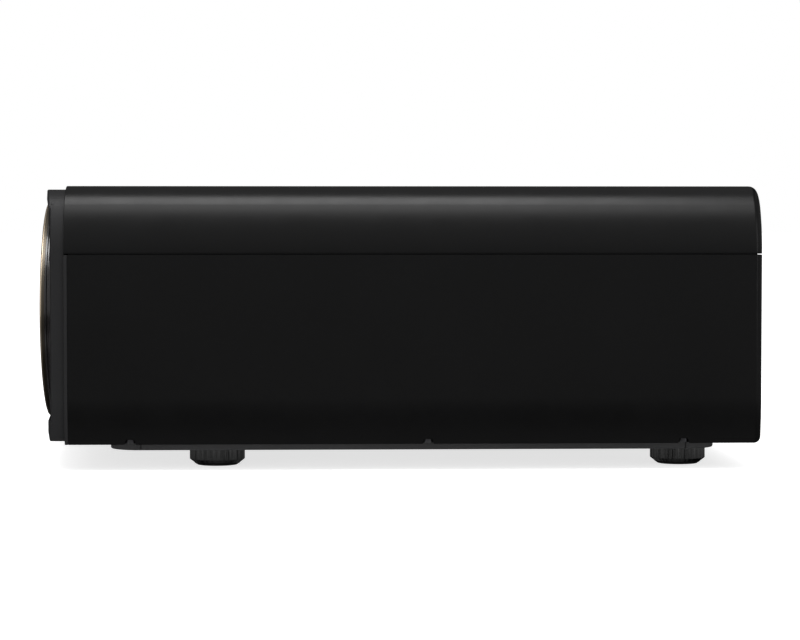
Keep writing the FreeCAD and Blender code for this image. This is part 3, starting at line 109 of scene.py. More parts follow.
# case screws
SCREW_X = 217.2 * MM
SCREW_LINES = (-168.5 * MM, 24.1 * MM, 190.4 * MM)
RECESS_TOP = 20.7 * MM
RECESS_RADIUS = 5.5 * MM

# rear wall: x1, x2, z1, z2 of the infrared window, inner edges of the intakes, the keys' dish
REAR_WINDOW = (76 * MM, 94 * MM, 89 * MM, 95 * MM)
INTAKE_INNER = 122 * MM
KEYS = ("power_key", "input_key", "select_key", "menu_key", "back_key")
DISH_HALF = (58 * MM, 10 * MM)
DISH_DEPTH = 1.2 * MM
KEY_HOLE_RADIUS = 5.3 * MM


# ---------------------------------------------------------------- mesh helpers

def make_object(name, verts, faces, smooth_angle=35, facing=None):
    """Object from points and faces, shaded smooth but for edges sharper than the angle."""
    mesh = bpy.data.meshes.new(name)
    mesh.from_pydata([tuple(v) for v in verts], [], faces)
    mesh.validate()
    obj = bpy.data.objects.new(name, mesh)
    scene.collection.objects.link(obj)
    tidy_mesh(obj, smooth_angle, facing)
    return obj


def tidy_mesh(obj, smooth_angle=35, facing=None):
    """Welds double points, turns the faces outwards and marks the sharp edges.

    An open sheet turns towards facing, or away from its own middle.
    """
    bm = bmesh.new()
    bm.from_mesh(obj.data)
    bmesh.ops.remove_doubles(bm, verts=bm.verts, dist=1e-6)
    bmesh.ops.dissolve_degenerate(bm, edges=bm.edges, dist=1e-7)
    bmesh.ops.recalc_face_normals(bm, faces=bm.faces)
    if any(len(edge.link_faces) == 1 for edge in bm.edges):
        centre = sum((v.co for v in bm.verts), Vector()) / len(bm.verts)
        outward = sum(f.calc_area() * f.normal.dot(facing or f.calc_center_median() - centre)
                      for f in bm.faces)
        if outward < 0:
            bmesh.ops.reverse_faces(bm, faces=bm.faces)
    mark_sharp(bm, smooth_angle)
    bm.to_mesh(obj.data)
    bm.free()


def mark_sharp(bm, smooth_angle):
    limit = math.radians(smooth_angle)
    for face in bm.faces:
        face.smooth = True
    for edge in bm.edges:
        edge.smooth = len(edge.link_faces) == 2 and edge.calc_face_angle(0) < limit


def apply_modifiers(obj):
    """Turns the modifiers into plain mesh, then marks its sharp edges again."""
    shaped = bpy.data.meshes.new_from_object(obj.evaluated_get(bpy.context.evaluated_depsgraph_get()))
    obj.modifiers.clear()
    obj.data = shaped
    tidy_mesh(obj)
    return obj


def bevel(obj, width, angle=40):
    """Rounds the edges that turn by more than the angle."""
    mod = obj.modifiers.new("bevel", "BEVEL")
    mod.width = width
    mod.segments = 2
    mod.limit_method = "ANGLE"
    mod.angle_limit = math.radians(angle)
    mod.use_clamp_overlap = True
    return apply_modifiers(obj)


def thicken(obj, wall):
    """Turns a skin into a wall.  The inner side is the outer one moved in along its mean normals."""
    bm = bmesh.new()
    bm.from_mesh(obj.data)
    outer = list(bm.faces)
    rim = [edge for edge in bm.edges if len(edge.link_faces) == 1]
    normals = {}
    for face in outer:
        for loop in face.loops:
            normals.setdefault(loop.vert, []).append((face.normal, loop.calc_angle()))
    inner = {}
    for vert, around in normals.items():
        mean = sum((normal * angle for normal, angle in around), Vector()).normalized()
        flattest = max(0.6, min(abs(mean.dot(normal)) for normal, angle in around))
        inner[vert] = bm.verts.new(vert.co - mean * wall / flattest)
    for face in outer:
        bm.faces.new([inner[vert] for vert in reversed(face.verts)])
    for edge in rim:
        a, b = edge.link_loops[0].vert, edge.link_loops[0].link_loop_next.vert
        bm.faces.new((b, a, inner[a], inner[b]))
    bm.to_mesh(obj.data)
    bm.free()
    tidy_mesh(obj)
    return obj


def merge(name, objects):
    """One object made of several, under a new name."""
    bm = bmesh.new()
    for obj in objects:
        bm.from_mesh(obj.data)
        bpy.data.objects.remove(obj)
    mesh = bpy.data.meshes.new(name)
    bm.to_mesh(mesh)
    bm.free()
    whole = bpy.data.objects.new(name, mesh)
    scene.collection.objects.link(whole)
    return whole


def add_faces(mesh, verts, faces):
    """Adds separate points and faces to a (points, faces) pair of lists."""
    start = len(mesh[0])
    mesh[0].extend(verts)
    mesh[1].extend(tuple(i + start for i in face) for face in faces)


def loft(rings, closed=True, cap=False):
    """Faces that join rings of equal length, first to last."""
    count = len(rings[0])
    verts = [point for ring in rings for point in ring]
    faces = []
    for row in range(len(rings) - 1):
        for col in range(count if closed else count - 1):
            a, b = row * count + col, row * count + (col + 1) % count
            faces.append((a, b, b + count, a + count))
    if cap:
        faces.append(tuple(range(count)))
        faces.append(tuple(range(len(verts) - count, len(verts))))
    return verts, faces


def arc(centre, radius, start, end, steps):
    return [(centre[0] + radius * math.cos(start + (end - start) * i / steps),
             centre[1] + radius * math.sin(start + (end - start) * i / steps)) for i in range(steps + 1)]


def rounded(points, radius, steps):
    """A polygon with each corner turned into an arc.  A point may carry its own radius."""
    out = []
    count = len(points)
    for index, point in enumerate(points):
        here = Vector(point[:2])
        size = point[2] if len(point) > 2 else radius
        back = Vector(points[index - 1][:2]) - here
        on = Vector(points[(index + 1) % count][:2]) - here
        turn = back.angle(on, math.pi)
        if size <= 0 or math.pi - turn < 0.02:
            out.append(tuple(here))
            continue
        cut = min(size / math.tan(turn / 2), back.length * 0.49, on.length * 0.49)
        size = cut * math.tan(turn / 2)
        hub = here + (back.normalized() + on.normalized()).normalized() * (size / math.sin(turn / 2))
        first = here + back.normalized() * cut - hub
        last = here + on.normalized() * cut - hub
        sweep = first.angle_signed(last)
        for i in range(steps + 1):
            spoke = Matrix.Rotation(-sweep * i / steps, 2) @ first
            out.append(tuple(hub + spoke))
    return out


def lathe(name, profile, centre, segments, axis="y", smooth_angle=35, radial=None):
    """Solid of revolution about y or z from a closed profile of (along, radius) points.

    radial(along, radius, turn) may give the radius another value on the way round.
    """
    rings = []
    for step in range(segments):
        turn = 2 * math.pi * step / segments
        ring = []
        for along, radius in profile:
            r = radius if radial is None else radial(along, radius, turn)
            across, up = r * math.cos(turn), r * math.sin(turn)
            if axis == "y":
                ring.append((centre[0] + across, along, centre[2] + up))
            else:
                ring.append((centre[0] + across, centre[1] + up, along))
        rings.append(ring)
    rings.append(rings[0])
    verts, faces = loft(rings, closed=True)
    return make_object(name, verts, faces, smooth_angle)


def on_body(obj, body, node, slot):
    """Puts a piece on its body in place of a node, in the slot's material."""
    weighted = obj.modifiers.new("flat_faces", "WEIGHTED_NORMAL")
    weighted.keep_sharp = True
    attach(obj, body)
    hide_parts(node)
    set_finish(obj, slot)


# ---------------------------------------------------------------- the case's section

def curl(inset, rising):
    """The curl under the side, moved in by inset, either rising from the floor or falling to it."""
    centre = (HALF_WIDTH - CURL, CASE_BOTTOM + CURL * math.sin(CURL_ANGLE))
    floor_turn = math.asin((CASE_BOTTOM + inset - centre[1]) / (CURL - inset))
    start, end = (floor_turn, 0) if rising else (0, floor_turn)
    return arc(centre, CURL - inset, start, end, 8)


def section(inset, start=None):
    """Right half of the case's outline as (x, z), moved in by inset.

    It runs from the middle of the floor to the middle of the roof, or starts on the side at a height.
    """
    facet = (SHOULDER_LOW * math.tan(SHOULDER_ANGLE / 2)
             + SHOULDER_HIGH * math.tan(math.pi / 4 - SHOULDER_ANGLE / 2) + 0.3 * MM)
    corner_z = CASE_TOP - facet * math.cos(SHOULDER_ANGLE)
    corner_x = HALF_WIDTH - facet * math.sin(SHOULDER_ANGLE)
    low_centre = (HALF_WIDTH - SHOULDER_LOW, corner_z - SHOULDER_LOW * math.tan(SHOULDER_ANGLE / 2))
    high_centre = (corner_x - SHOULDER_HIGH * math.tan(math.pi / 4 - SHOULDER_ANGLE / 2),
                   CASE_TOP - SHOULDER_HIGH)
    if start is None:
        points = [(0.0, CASE_BOTTOM + inset)] + curl(inset, True)
    else:
        points = [(HALF_WIDTH - inset, start)]
    points += arc(low_centre, SHOULDER_LOW - inset, 0, SHOULDER_ANGLE, 12)
    points += arc(high_centre, SHOULDER_HIGH - inset, SHOULDER_ANGLE, math.pi / 2, 14)
    return points + [(0.0, CASE_TOP - inset)]


def lower_section(inset):
    """Right half of the outline below the seam, from the seam down to the middle of the floor."""
    return [(HALF_WIDTH - inset, SEAM_LOW)] + curl(inset, False) + [(0.0, CASE_BOTTOM + inset)]


def both_sides(half):
    """Whole outline from one half of it, which ends on the middle line."""
    return half + [(-x, z) for x, z in reversed(half[:-1])]


# ---------------------------------------------------------------- shells

def skin(half_at, front, rear, rounding):
    """Stations of an outline along the case, rounded off at the rear.

    half_at gives the half outline for an inset.
    """
    rings = [both_sides(half_at(0.0)), both_sides(half_at(0.0))]
    depths = [front, rear - rounding]
    steps = 8
    for step in range(1, steps + 1):
        turn = math.pi / 2 * step / steps
        rings.append(both_sides(half_at(rounding * (1 - math.cos(turn)))))
        depths.append(rear - rounding + rounding * math.sin(turn))
    return [[(x, y, z) for x, z in ring] for ring, y in zip(rings, depths)]


def points_and_edges(loops):
    """The points and edges of closed loops."""
    points, edges = [], []
    for loop in loops:
        start = len(points)
        points += [Vector(p) for p in loop]
        edges += [(start + i, start + (i + 1) % len(loop)) for i in range(len(loop))]
    return points, edges


# triangles between points in one straight run of an outline have less area than this
LEAST_AREA = 1e-10


def filled(points, edges, outline, holes):
    """Triangulates points and edges, and keeps the triangles inside the outline and outside the holes."""
    verts, _, faces, *_ = geometry.delaunay_2d_cdt(points, edges, [], 0, 1e-7)
    kept = []
    for face in faces:
        corners = [verts[i] for i in face]
        centre = sum(corners, Vector((0, 0))) / 3
        solid = geometry.area_tri(*corners) > LEAST_AREA
        if solid and is_inside(centre, outline) and not any(is_inside(centre, hole) for hole in holes):
            kept.append(face)
    return verts, kept


def flat_with_holes(outline, holes, depth):
    """Flat upright sheet at y = depth with holes, as points and triangles.  Outlines are (x, z) loops."""
    verts, faces = filled(*points_and_edges([outline] + holes), outline, holes)
    return [(v.x, depth, v.y) for v in verts], faces


def is_inside(point, loop):
    """Whether a point is inside a closed loop, by the edges crossed on the way out."""
    inside = False
    for (x1, z1), (x2, z2) in zip(loop, loop[1:] + loop[:1]):
        if (z1 > point[1]) != (z2 > point[1]) and point[0] < (x2 - x1) * (point[1] - z1) / (z2 - z1) + x1:
            inside = not inside
    return inside


def box_loop(x1, x2, z1, z2, radius, steps=4):
    """Rounded rectangle."""
    return rounded([(x1, z1), (x2, z1), (x2, z2), (x1, z2)], radius, steps)


def circle_loop(x, z, radius, count):
    step = 2 * math.pi / count
    return [(x + radius * math.cos(step * i), z + radius * math.sin(step * i)) for i in range(count)]


def node_loop(node, radius, steps=4, grow=0.0):
    """Rounded rectangle round a node, seen from the front."""
    a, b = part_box(node)
    return box_loop(a.x - grow, b.x + grow, a.z - grow, b.z + grow, radius + grow, steps)


def shell(name, rings, rear_face, wall):
    """Open skin of rings with its rear face, thickened inwards."""
    mesh = loft(rings, closed=False)
    add_faces(mesh, *rear_face)
    return thicken(make_object(name, *mesh), wall)


def make_cover():
    rings = skin(lambda inset: section(inset, SEAM_HIGH), CASE_FRONT, CASE_REAR, REAR_ROUNDING)
    rear = flat_with_holes([(x, z) for x, _, z in rings[-1]], [], CASE_REAR)
    cover = shell("cover_shell", rings, rear, COVER_WALL)
    on_body(bevel(cover, 0.35 * MM), "case", "top_cover", "case_black")


def subtract(obj, cutters):
    """Cuts the cutters out of a piece and removes them."""
    for cutter in cutters:
        mod = obj.modifiers.new("cut", "BOOLEAN")
        mod.operation = "DIFFERENCE"
        mod.object = cutter
        mod.solver = "EXACT"
    apply_modifiers(obj)
    for cutter in cutters:
        bpy.data.objects.remove(cutter)


def rear_openings():
    """Loops in the lower case's rear wall: terminals, intakes and the infrared window."""
    grille_low, grille_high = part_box("intake_grilles")
    loops = [node_loop("terminal_plate", 1.5 * MM)]
    for x1, x2 in ((grille_low.x, -INTAKE_INNER), (INTAKE_INNER, grille_high.x)):
        loops.append(box_loop(x1, x2, grille_low.z, grille_high.z, 3 * MM))
    loops.append(box_loop(*REAR_WINDOW, 1 * MM))
    return loops


def recess_cutter(side, line):
    """What drills one recess of the case screws."""
    circle = circle_loop(side * SCREW_X, line, RECESS_RADIUS, 40)
    return make_object("recess", *loft([[(x, y, z) for x, y in circle] for z in (0, RECESS_TOP)], cap=True))


def make_lower_case():
    rings = skin(lower_section, FLANGE_BACK, CASE_REAR, REAR_ROUNDING)
    outline = [(x, z) for x, _, z in rings[-1]]
    key_z = middle("power_key").z
    dish = box_loop(-DISH_HALF[0], DISH_HALF[0], key_z - DISH_HALF[1], key_z + DISH_HALF[1], 4 * MM)
    key_holes = [circle_loop(middle(key).x, key_z, KEY_HOLE_RADIUS, 40) for key in KEYS]
    rear = flat_with_holes(outline, rear_openings() + [dish], CASE_REAR)
    add_faces(rear, *flat_with_holes(dish, key_holes, CASE_REAR - DISH_DEPTH))
    add_faces(rear, *loft([[(x, y, z) for x, z in dish] for y in (CASE_REAR, CASE_REAR - DISH_DEPTH)]))
    tub = shell("lower_case_shell", rings, rear, CASE_WALL)
    subtract(tub, [recess_cutter(side, line) for side in (1, -1) for line in SCREW_LINES])
    whole = merge("lower_case_tub", [bevel(tub, 0.3 * MM, angle=45)] + seam_tongue())
    on_body(whole, "case", "lower_case", "case_black")


def seam_tongue():
    """Strips inside the side walls and the rear wall that stand up past the seam."""
    top = SEAM_LOW + 2.0 * MM
    outline = rounded([(CASE_WALL - 0.1 * MM, SEAM_LOW - 8 * MM), (3.3 * MM, SEAM_LOW - 0.5 * MM),
                       (3.2 * MM, SEAM_LOW - 0.3 * MM), (3.2 * MM, top), (4.8 * MM, top),
                       (4.8 * MM, SEAM_LOW - 8 * MM)], 0.25 * MM, 2)
    strips = []
    for side in (1, -1):
        rings = [[(side * (HALF_WIDTH - depth), y, z) for depth, z in outline]
                 for y in (FLANGE_BACK + 1 * MM, CASE_REAR - 3.3 * MM)]
        strips.append(make_object(f"side_tongue_{side}", *loft(rings, cap=True)))
    rings = [[(side * (HALF_WIDTH - 4 * MM), CASE_REAR - depth, z) for depth, z in outline]
             for side in (-1, 1)]
    strips.append(make_object("rear_tongue", *loft(rings, cap=True)))
    return strips


def make_base_plate():
    a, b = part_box("base_plate")
    corner, ease = 21 * MM, 1.0 * MM
    bush_radius, hanger_radius = 6.5 * MM, 2.1 * MM

    def ring(inset, z):
        return [(x, y, z) for x, y in rounded([(b.x - inset, a.y + inset), (b.x - inset, b.y - inset),
                                               (a.x + inset, b.y - inset), (a.x + inset, a.y + inset)],
                                              corner - inset, 12)]

    rings = [ring(0, CASE_BOTTOM)]
    steps = 4
    for step in range(steps + 1):
        turn = math.pi / 2 * step / steps
        rings.append(ring(ease * (1 - math.cos(turn)), a.z + ease * (1 - math.sin(turn))))
    tray = loft(rings)
    tray[1].append(tuple(range(len(rings[0]))))
    holes = []
    for foot in FEET:
        spot = middle(f"foot_sole_{foot}")
        holes.append(circle_loop(spot.x, spot.y, bush_radius, 40))
    holes += [circle_loop(x, y, hanger_radius, 24)
              for x in (-150 * MM, 150 * MM) for y in (-60 * MM, 140 * MM)]
    flat, flat_faces = flat_with_holes([(x, y) for x, y, _ in rings[-1]], holes, 0)
    add_faces(tray, [(x, y, a.z) for x, _, y in flat], flat_faces)
    for hole in holes:
        add_faces(tray, *loft([[(x, y, z) for x, y in hole] for z in (a.z, CASE_BOTTOM - 0.3 * MM)]))
        tray[1].append(tuple(range(len(tray[0]) - len(hole), len(tray[0]))))
    obj = make_object("base_plate_tray", *tray)
    subtract(obj, [corner_slit(side, line, b.x) for side in (1, -1) for line in (a.y + corner, b.y - corner)])
    on_body(obj, "case", "base_plate", "plate_black")


def corner_slit(side, line, edge):
    """Relief slit in the tray's wall where a corner bend starts."""
    rings = [[(side * x, line + along, z) for along, z in
              box_loop(-0.5 * MM, 0.5 * MM, CASE_BOTTOM - 5.2 * MM, CASE_BOTTOM + 1 * MM, 0.3 * MM, 2)]
             for x in (edge - 1.5 * MM, edge + 1 * MM)]
    return make_object(f"slit_{side}_{line}", *loft(rings, cap=True))


# ---------------------------------------------------------------- front panel

PANEL_RADIUS = 1670 * MM
PANEL_NOSE = -233.9 * MM
RAIL_PROUD = 1.0 * MM
RAIL_HEIGHT = 12 * MM
RAIL_LOW = CASE_BOTTOM + PANEL_INSET + RAIL_HEIGHT
RAIL_HIGH = CASE_TOP - PANEL_INSET - RAIL_HEIGHT
RAIL_STEP_HALF = 0.3 * MM
RAIL_STEPS = tuple(line + offset * MM for line in (RAIL_LOW, RAIL_HIGH)
                   for offset in (-0.3, -0.15, 0.0, 0.15, 0.3))
EDGE_EASE = 1.0 * MM
HOLE_EASE = 0.5 * MM
PANEL_WALL = 3.0 * MM
FRONT_WINDOW = (171 * MM, 189 * MM, 23 * MM, 29 * MM)


def bow(x):
    """How far the bowed front falls back at x."""
    return PANEL_RADIUS - math.sqrt(PANEL_RADIUS ** 2 - x * x)


def distance_to(point, loop):
    """Distance from a point to a closed loop."""
    best = 1.0
    px, pz = point
    for (x1, z1), (x2, z2) in zip(loop, loop[1:] + loop[:1]):
        dx, dz = x2 - x1, z2 - z1
        length = dx * dx + dz * dz
        t = 0.0 if length == 0 else max(0.0, min(1.0, ((px - x1) * dx + (pz - z1) * dz) / length))
        best = min(best, math.hypot(px - x1 - t * dx, pz - z1 - t * dz))
    return best


def risen(z, line):
    """From 0 to 1 as z passes the step at a rail's line."""
    t = max(0.0, min(1.0, (z - line + RAIL_STEP_HALF) / (2 * RAIL_STEP_HALF)))
    return t * t * (3 - 2 * t)


def panel_depth(x, z):
    """Where the panel's face is, before its edges are rounded."""
    rail = risen(z, RAIL_HIGH) + 1 - risen(z, RAIL_LOW)
    return PANEL_NOSE + bow(x) - RAIL_PROUD * rail


def eased(distance, radius):
    """Drop of a rounded edge at a distance from it."""
    if distance >= radius:
        return 0.0
    return radius - math.sqrt(max(0.0, radius ** 2 - (radius - distance) ** 2))


def panel_outline(inset):
    """Outline of the panel moved in by inset, with extra points at the heights where the rails step."""
    loop = both_sides(section(PANEL_INSET + inset))
    out = []
    for (x1, z1), (x2, z2) in zip(loop, loop[1:] + loop[:1]):
        out.append((x1, z1))
        crossed = sorted((level - z1) / (z2 - z1) for level in RAIL_STEPS if (z1 - level) * (z2 - level) < 0)
        out += [(x1 + (x2 - x1) * t, z1 + (z2 - z1) * t) for t in crossed]
    return out


def panel_holes(grow=0.0):
    """Loops round the openings: lens, exhausts, status light and infrared window."""
    x1, x2, z1, z2 = FRONT_WINDOW
    ring_hole = high("lens_ring").z - LENS_HEIGHT + 0.5 * MM
    return [circle_loop(0, LENS_HEIGHT, ring_hole + grow, 160),
            node_loop("exhaust_grille_left", 3 * MM, 5, grow),
            node_loop("exhaust_grille_right", 3 * MM, 5, grow),
            node_loop("status_light", 0.8 * MM, 3, grow),
            box_loop(x1 - grow, x2 + grow, z1 - grow, z2 + grow, 1 * MM + grow, 3)]


def panel_graph(outline, holes):
    """Points and edges for the face: its loops, the steps of the rails and a grid between them."""
    loops = [outline] + holes
    for share in (0.08, 0.3, 0.62, 1.0):
        loops.append(panel_outline(EDGE_EASE * share))
        loops += panel_holes(HOLE_EASE * share)
    points, edges = points_and_edges(loops)
    innermost = panel_outline(EDGE_EASE)
    for z in RAIL_STEPS:
        reach = max(x for x, level in innermost if abs(level - z) < 1e-6)
        edges.append((len(points), len(points) + 1))
        points += [Vector((-reach, z)), Vector((reach, z))]
    core = panel_outline(2 * MM)
    spacing = 9 * MM
    x = -HALF_WIDTH + spacing
    while x < HALF_WIDTH - spacing / 2:
        z = CASE_BOTTOM + 6 * MM
        while z < CASE_TOP - 5 * MM:
            if is_inside((x, z), core) and min(abs(z - RAIL_LOW), abs(z - RAIL_HIGH)) > 2 * MM:
                points.append(Vector((x, z)))
            z += spacing
        x += spacing
    return points, edges


def panel_face():
    """The bowed face with its rails, and the skirt behind its edge, which runs back to the case."""
    outline, holes = panel_outline(0), panel_holes()
    verts, faces = filled(*panel_graph(outline, holes), outline, holes)
    shaped = []
    for v in verts:
        hole = min(distance_to(v, loop) for loop in holes)
        drop = eased(distance_to(v, outline), EDGE_EASE) + eased(hole, HOLE_EASE)
        shaped.append((v.x, panel_depth(v.x, v.y) + drop, v.y))
    used = sorted({i for face in faces for i in face})
    index = {old: new for new, old in enumerate(used)}
    obj = make_object("panel_face", [shaped[i] for i in used],
                      [tuple(index[i] for i in face) for face in faces], facing=Vector((0, -1, 0)))
    bm = bmesh.new()
    bm.from_mesh(obj.data)
    rim = [e for e in bm.edges if len(e.link_faces) == 1
           and all(distance_to((v.co.x, v.co.z), outline) < 1e-5 for v in e.verts)]
    made = bmesh.ops.extrude_edge_only(bm, edges=rim)
    for v in made["geom"]:
        if isinstance(v, bmesh.types.BMVert):
            v.co.y = CASE_FRONT
    bmesh.ops.recalc_face_normals(bm, faces=bm.faces)
    bm.to_mesh(obj.data)
    bm.free()
    tidy_mesh(obj)
    return thicken(obj, PANEL_WALL)


def panel_flange():
    """The flange between panel and lower case, flush with the case below the seam."""
    outer = both_sides(lower_section(0.0))
    inner = both_sides(lower_section(PANEL_INSET + PANEL_WALL))
    loop = outer + inner[::-1]
    verts, faces = loft([[(x, y, z) for x, z in loop] for y in (CASE_FRONT, FLANGE_BACK - 0.12 * MM)])
    total = len(loop)
    for base in (0, total):
        for i in range(len(outer) - 1):
            faces.append((base + i, base + i + 1, base + total - 2 - i, base + total - 1 - i))
    return bevel(make_object("panel_flange", verts, faces), 0.3 * MM)


def make_front_panel():
    on_body(merge("front_panel_shell", [panel_face(), panel_flange()]), "case", "front_panel", "panel_black")


# ---------------------------------------------------------------- grilles

def bar_frame(name, outer, inner, depth_at, wall, facing):
    """Sheet between an outer loop and inner loops, set at depth_at(x), thickened away from its face."""
    verts, faces = flat_with_holes(outer, inner, 0)
    obj = make_object(name, [(x, depth_at(x), z) for x, _, z in verts], faces, facing=facing)
    return bevel(thicken(obj, wall), 0.3 * MM)


def bowed_slat(name, x1, x2, z, nose):
    """One louvre blade, sloping down towards the front and following the bow."""
    blade = rounded([(0.3 * MM, -0.8 * MM), (1.0 * MM, -2.3 * MM), (4.8 * MM, 0.4 * MM),
                     (4.6 * MM, 1.9 * MM)], 0.5 * MM, 3)
    steps = 24
    rings = []
    for step in range(steps + 1):
        x = x1 + (x2 - x1) * step / steps
        rings.append([(x, nose + bow(x) + along, z + up) for along, up in blade])
    return make_object(name, *loft(rings, cap=True))


def row_heights(a, b, edge, pitch):
    """Heights of the rows that fit between two edges, centred."""
    count = int((b.z - a.z - 2 * edge) / pitch)
    first = (a.z + b.z) / 2 - (count - 1) * pitch / 2
    return [first + index * pitch for index in range(count)]


def make_exhaust_grille(side):
    node = f"exhaust_grille_{side}"
    a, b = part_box(node)
    nose = PANEL_NOSE + 0.5 * MM
    edge, tuck = 4 * MM, 1 * MM
    outer = subdivide_loop(node_loop(node, 3 * MM, 5), 12 * MM)
    inner = subdivide_loop(box_loop(a.x + edge, b.x - edge, a.z + edge, b.z - edge, 1.5 * MM), 12 * MM)
    pieces = [bar_frame(f"{node}_frame", outer, [inner], lambda x: nose + bow(x), 5 * MM, Vector((0, -1, 0)))]
    for z in row_heights(a, b, edge, 8 * MM):
        pieces.append(bowed_slat(f"{node}_slat", a.x + edge - tuck, b.x - edge + tuck, z, nose))
    rib_half, rib_back, rib_deep = 0.8 * MM, 3.2 * MM, 1.6 * MM
    for share in (1, 2):
        x = a.x + (b.x - a.x) * share / 3
        y = nose + bow(x) + rib_back
        rings = [[(x - rib_half, y, z), (x + rib_half, y, z), (x + rib_half, y + rib_deep, z),
                  (x - rib_half, y + rib_deep, z)] for z in (a.z + edge - tuck, b.z - edge + tuck)]
        pieces.append(make_object(f"{node}_rib", *loft(rings, cap=True)))
    on_body(merge(f"{node}_louvres", pieces), "case", node, "grille_black")


def subdivide_loop(loop, spacing):
    """Loop with its long runs cut into shorter ones, no longer than the spacing."""
    out = []
    for (x1, z1), (x2, z2) in zip(loop, loop[1:] + loop[:1]):
        parts = max(1, math.ceil(math.hypot(x2 - x1, z2 - z1) / spacing))
        out += [(x1 + (x2 - x1) * i / parts, z1 + (z2 - z1) * i / parts) for i in range(parts)]
    return out


def make_intake_grilles():
    a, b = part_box("intake_grilles")
    edge, inner_edge = 4 * MM, INTAKE_INNER + 0.05 * MM
    slot_half, post_half = 2.1 * MM, 1.5 * MM
    pieces = []
    for x1, x2 in ((a.x, -inner_edge), (inner_edge, b.x)):
        slots = []
        half = (x2 - x1) / 2 - edge
        centre = (x1 + x2) / 2
        for z in row_heights(a, b, edge, 6.5 * MM):
            for left, right in ((centre - half, centre - post_half), (centre + post_half, centre + half)):
                slots.append(box_loop(left, right, z - slot_half, z + slot_half, 2 * MM))
        pieces.append(bar_frame("intake_sheet", box_loop(x1, x2, a.z, b.z, 2.9 * MM), slots,
                                lambda x: b.y, 2.8 * MM, Vector((0, 1, 0))))
    on_body(merge("intake_grille_sheets", pieces), "case", "intake_grilles", "grille_black")


# ---------------------------------------------------------------- lens surround and glass

LENS_CENTRE = (0, 0, LENS_HEIGHT)
TRIM_WIDTH = 2 * MM
TRIM_DEPTH = 3.2 * MM


def make_lens_ring():
    front, back = RING_FRONT, high("lens_ring").y
    trim_low, trim_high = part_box("lens_trim_ring")
    outer = (trim_high.z - trim_low.z) / 2
    inner = outer - TRIM_WIDTH
    trim_back = trim_low.y + TRIM_DEPTH
    groove = outer - 0.9 * MM
    body = rounded([(front, 72 * MM, 0.8 * MM), (front, inner, 0.1 * MM), (trim_back, inner, 0.1 * MM),
                    (trim_back, outer, 0.15 * MM), (trim_back + 1.4 * MM, outer, 0.3 * MM),
                    (trim_back + 1.7 * MM, groove, 0.2 * MM), (trim_back + 2.7 * MM, groove, 0.2 * MM),
                    (trim_back + 3.0 * MM, outer, 0.3 * MM), (back, outer, 0.5 * MM),
                    (back, 66 * MM, 0.3 * MM),
                    (front + 11.2 * MM, 66 * MM, 4 * MM)], 0.4 * MM, 5)
    on_body(lathe("lens_ring_body", body, LENS_CENTRE, 256), "case", "lens_ring", "ring_black")
    trim = rounded([(front, inner, 0.25 * MM), (front, outer, 1.5 * MM), (trim_back, outer, 0.1 * MM),
                    (trim_back, inner, 0.1 * MM)], 0.3 * MM, 5)
    on_body(lathe("lens_trim", trim, LENS_CENTRE, 256), "case", "lens_trim_ring", "champagne")


def make_lens_cone():
    a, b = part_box("lens_cone")
    steps = 8
    lip, wide, narrow = 76 * MM, 66 * MM, 52 * MM
    profile = [(a.y, lip), (a.y, wide)]
    run = (b.y - a.y - 4 * MM) / steps
    for index in range(steps):
        along = a.y + 2 * MM + (index + 0.5) * run
        profile.append((along, wide - (wide - narrow) * index / steps))
        profile.append((along, wide - (wide - narrow) * (index + 1) / steps))
    profile += [(b.y, narrow), (b.y, narrow + 6 * MM), (a.y + 2 * MM, lip - 5 * MM), (a.y + 2 * MM, lip)]
    cone = lathe("lens_cone_baffle", rounded(profile, 0.25 * MM, 2), LENS_CENTRE, 192)
    on_body(cone, "case", "lens_cone", "baffle_black")


def glass_profile(front, rear, radius, crown):
    """Half section of a biconvex glass with a ground rim."""
    steps = 14
    ball = (radius ** 2 + crown ** 2) / (2 * crown)
    sweep = math.asin(radius / ball)
    near = [(front + ball - ball * math.cos(sweep * i / steps), ball * math.sin(sweep * i / steps))
            for i in range(steps + 1)]
    far = [(rear - ball + ball * math.cos(sweep * i / steps), ball * math.sin(sweep * i / steps))
           for i in range(steps, -1, -1)]
    return near + far


def make_glass():
    for node, crown in (("front_lens", 5 * MM), ("rear_lens", 3 * MM)):
        a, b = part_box(node)
        profile = glass_profile(a.y, b.y, (b.z - a.z) / 2, crown)
        on_body(lathe(f"{node}_glass", profile, LENS_CENTRE, 96), "lens", node, "coated_glass")


# ---------------------------------------------------------------- feet

KNURLS = 30
KNURL_CENTRE = 18.8 * MM
KNURL_RADIUS = 1.15 * MM
KNOB_RADIUS = 18.3 * MM
STEM_RADIUS = 3.95 * MM
THREAD_PITCH = 1.25 * MM
THREAD_DEPTH = 0.45 * MM


def knurled(_along, radius, turn):
    """Radius of the knob with the scalloped grips cut in."""
    pitch = 2 * math.pi / KNURLS
    off = (turn + pitch / 2) % pitch - pitch / 2
    across = KNURL_CENTRE * math.sin(off)
    if abs(across) >= KNURL_RADIUS or radius < 10 * MM:
        return radius
    return min(radius, KNURL_CENTRE * math.cos(off) - math.sqrt(KNURL_RADIUS ** 2 - across ** 2))


def threaded(along, radius, turn):
    """Radius of the stem with its thread cut in."""
    if radius < 1 * MM:
        return radius
    wave = abs(((along / THREAD_PITCH - turn / (2 * math.pi)) % 1) * 2 - 1)
    return radius - THREAD_DEPTH * wave


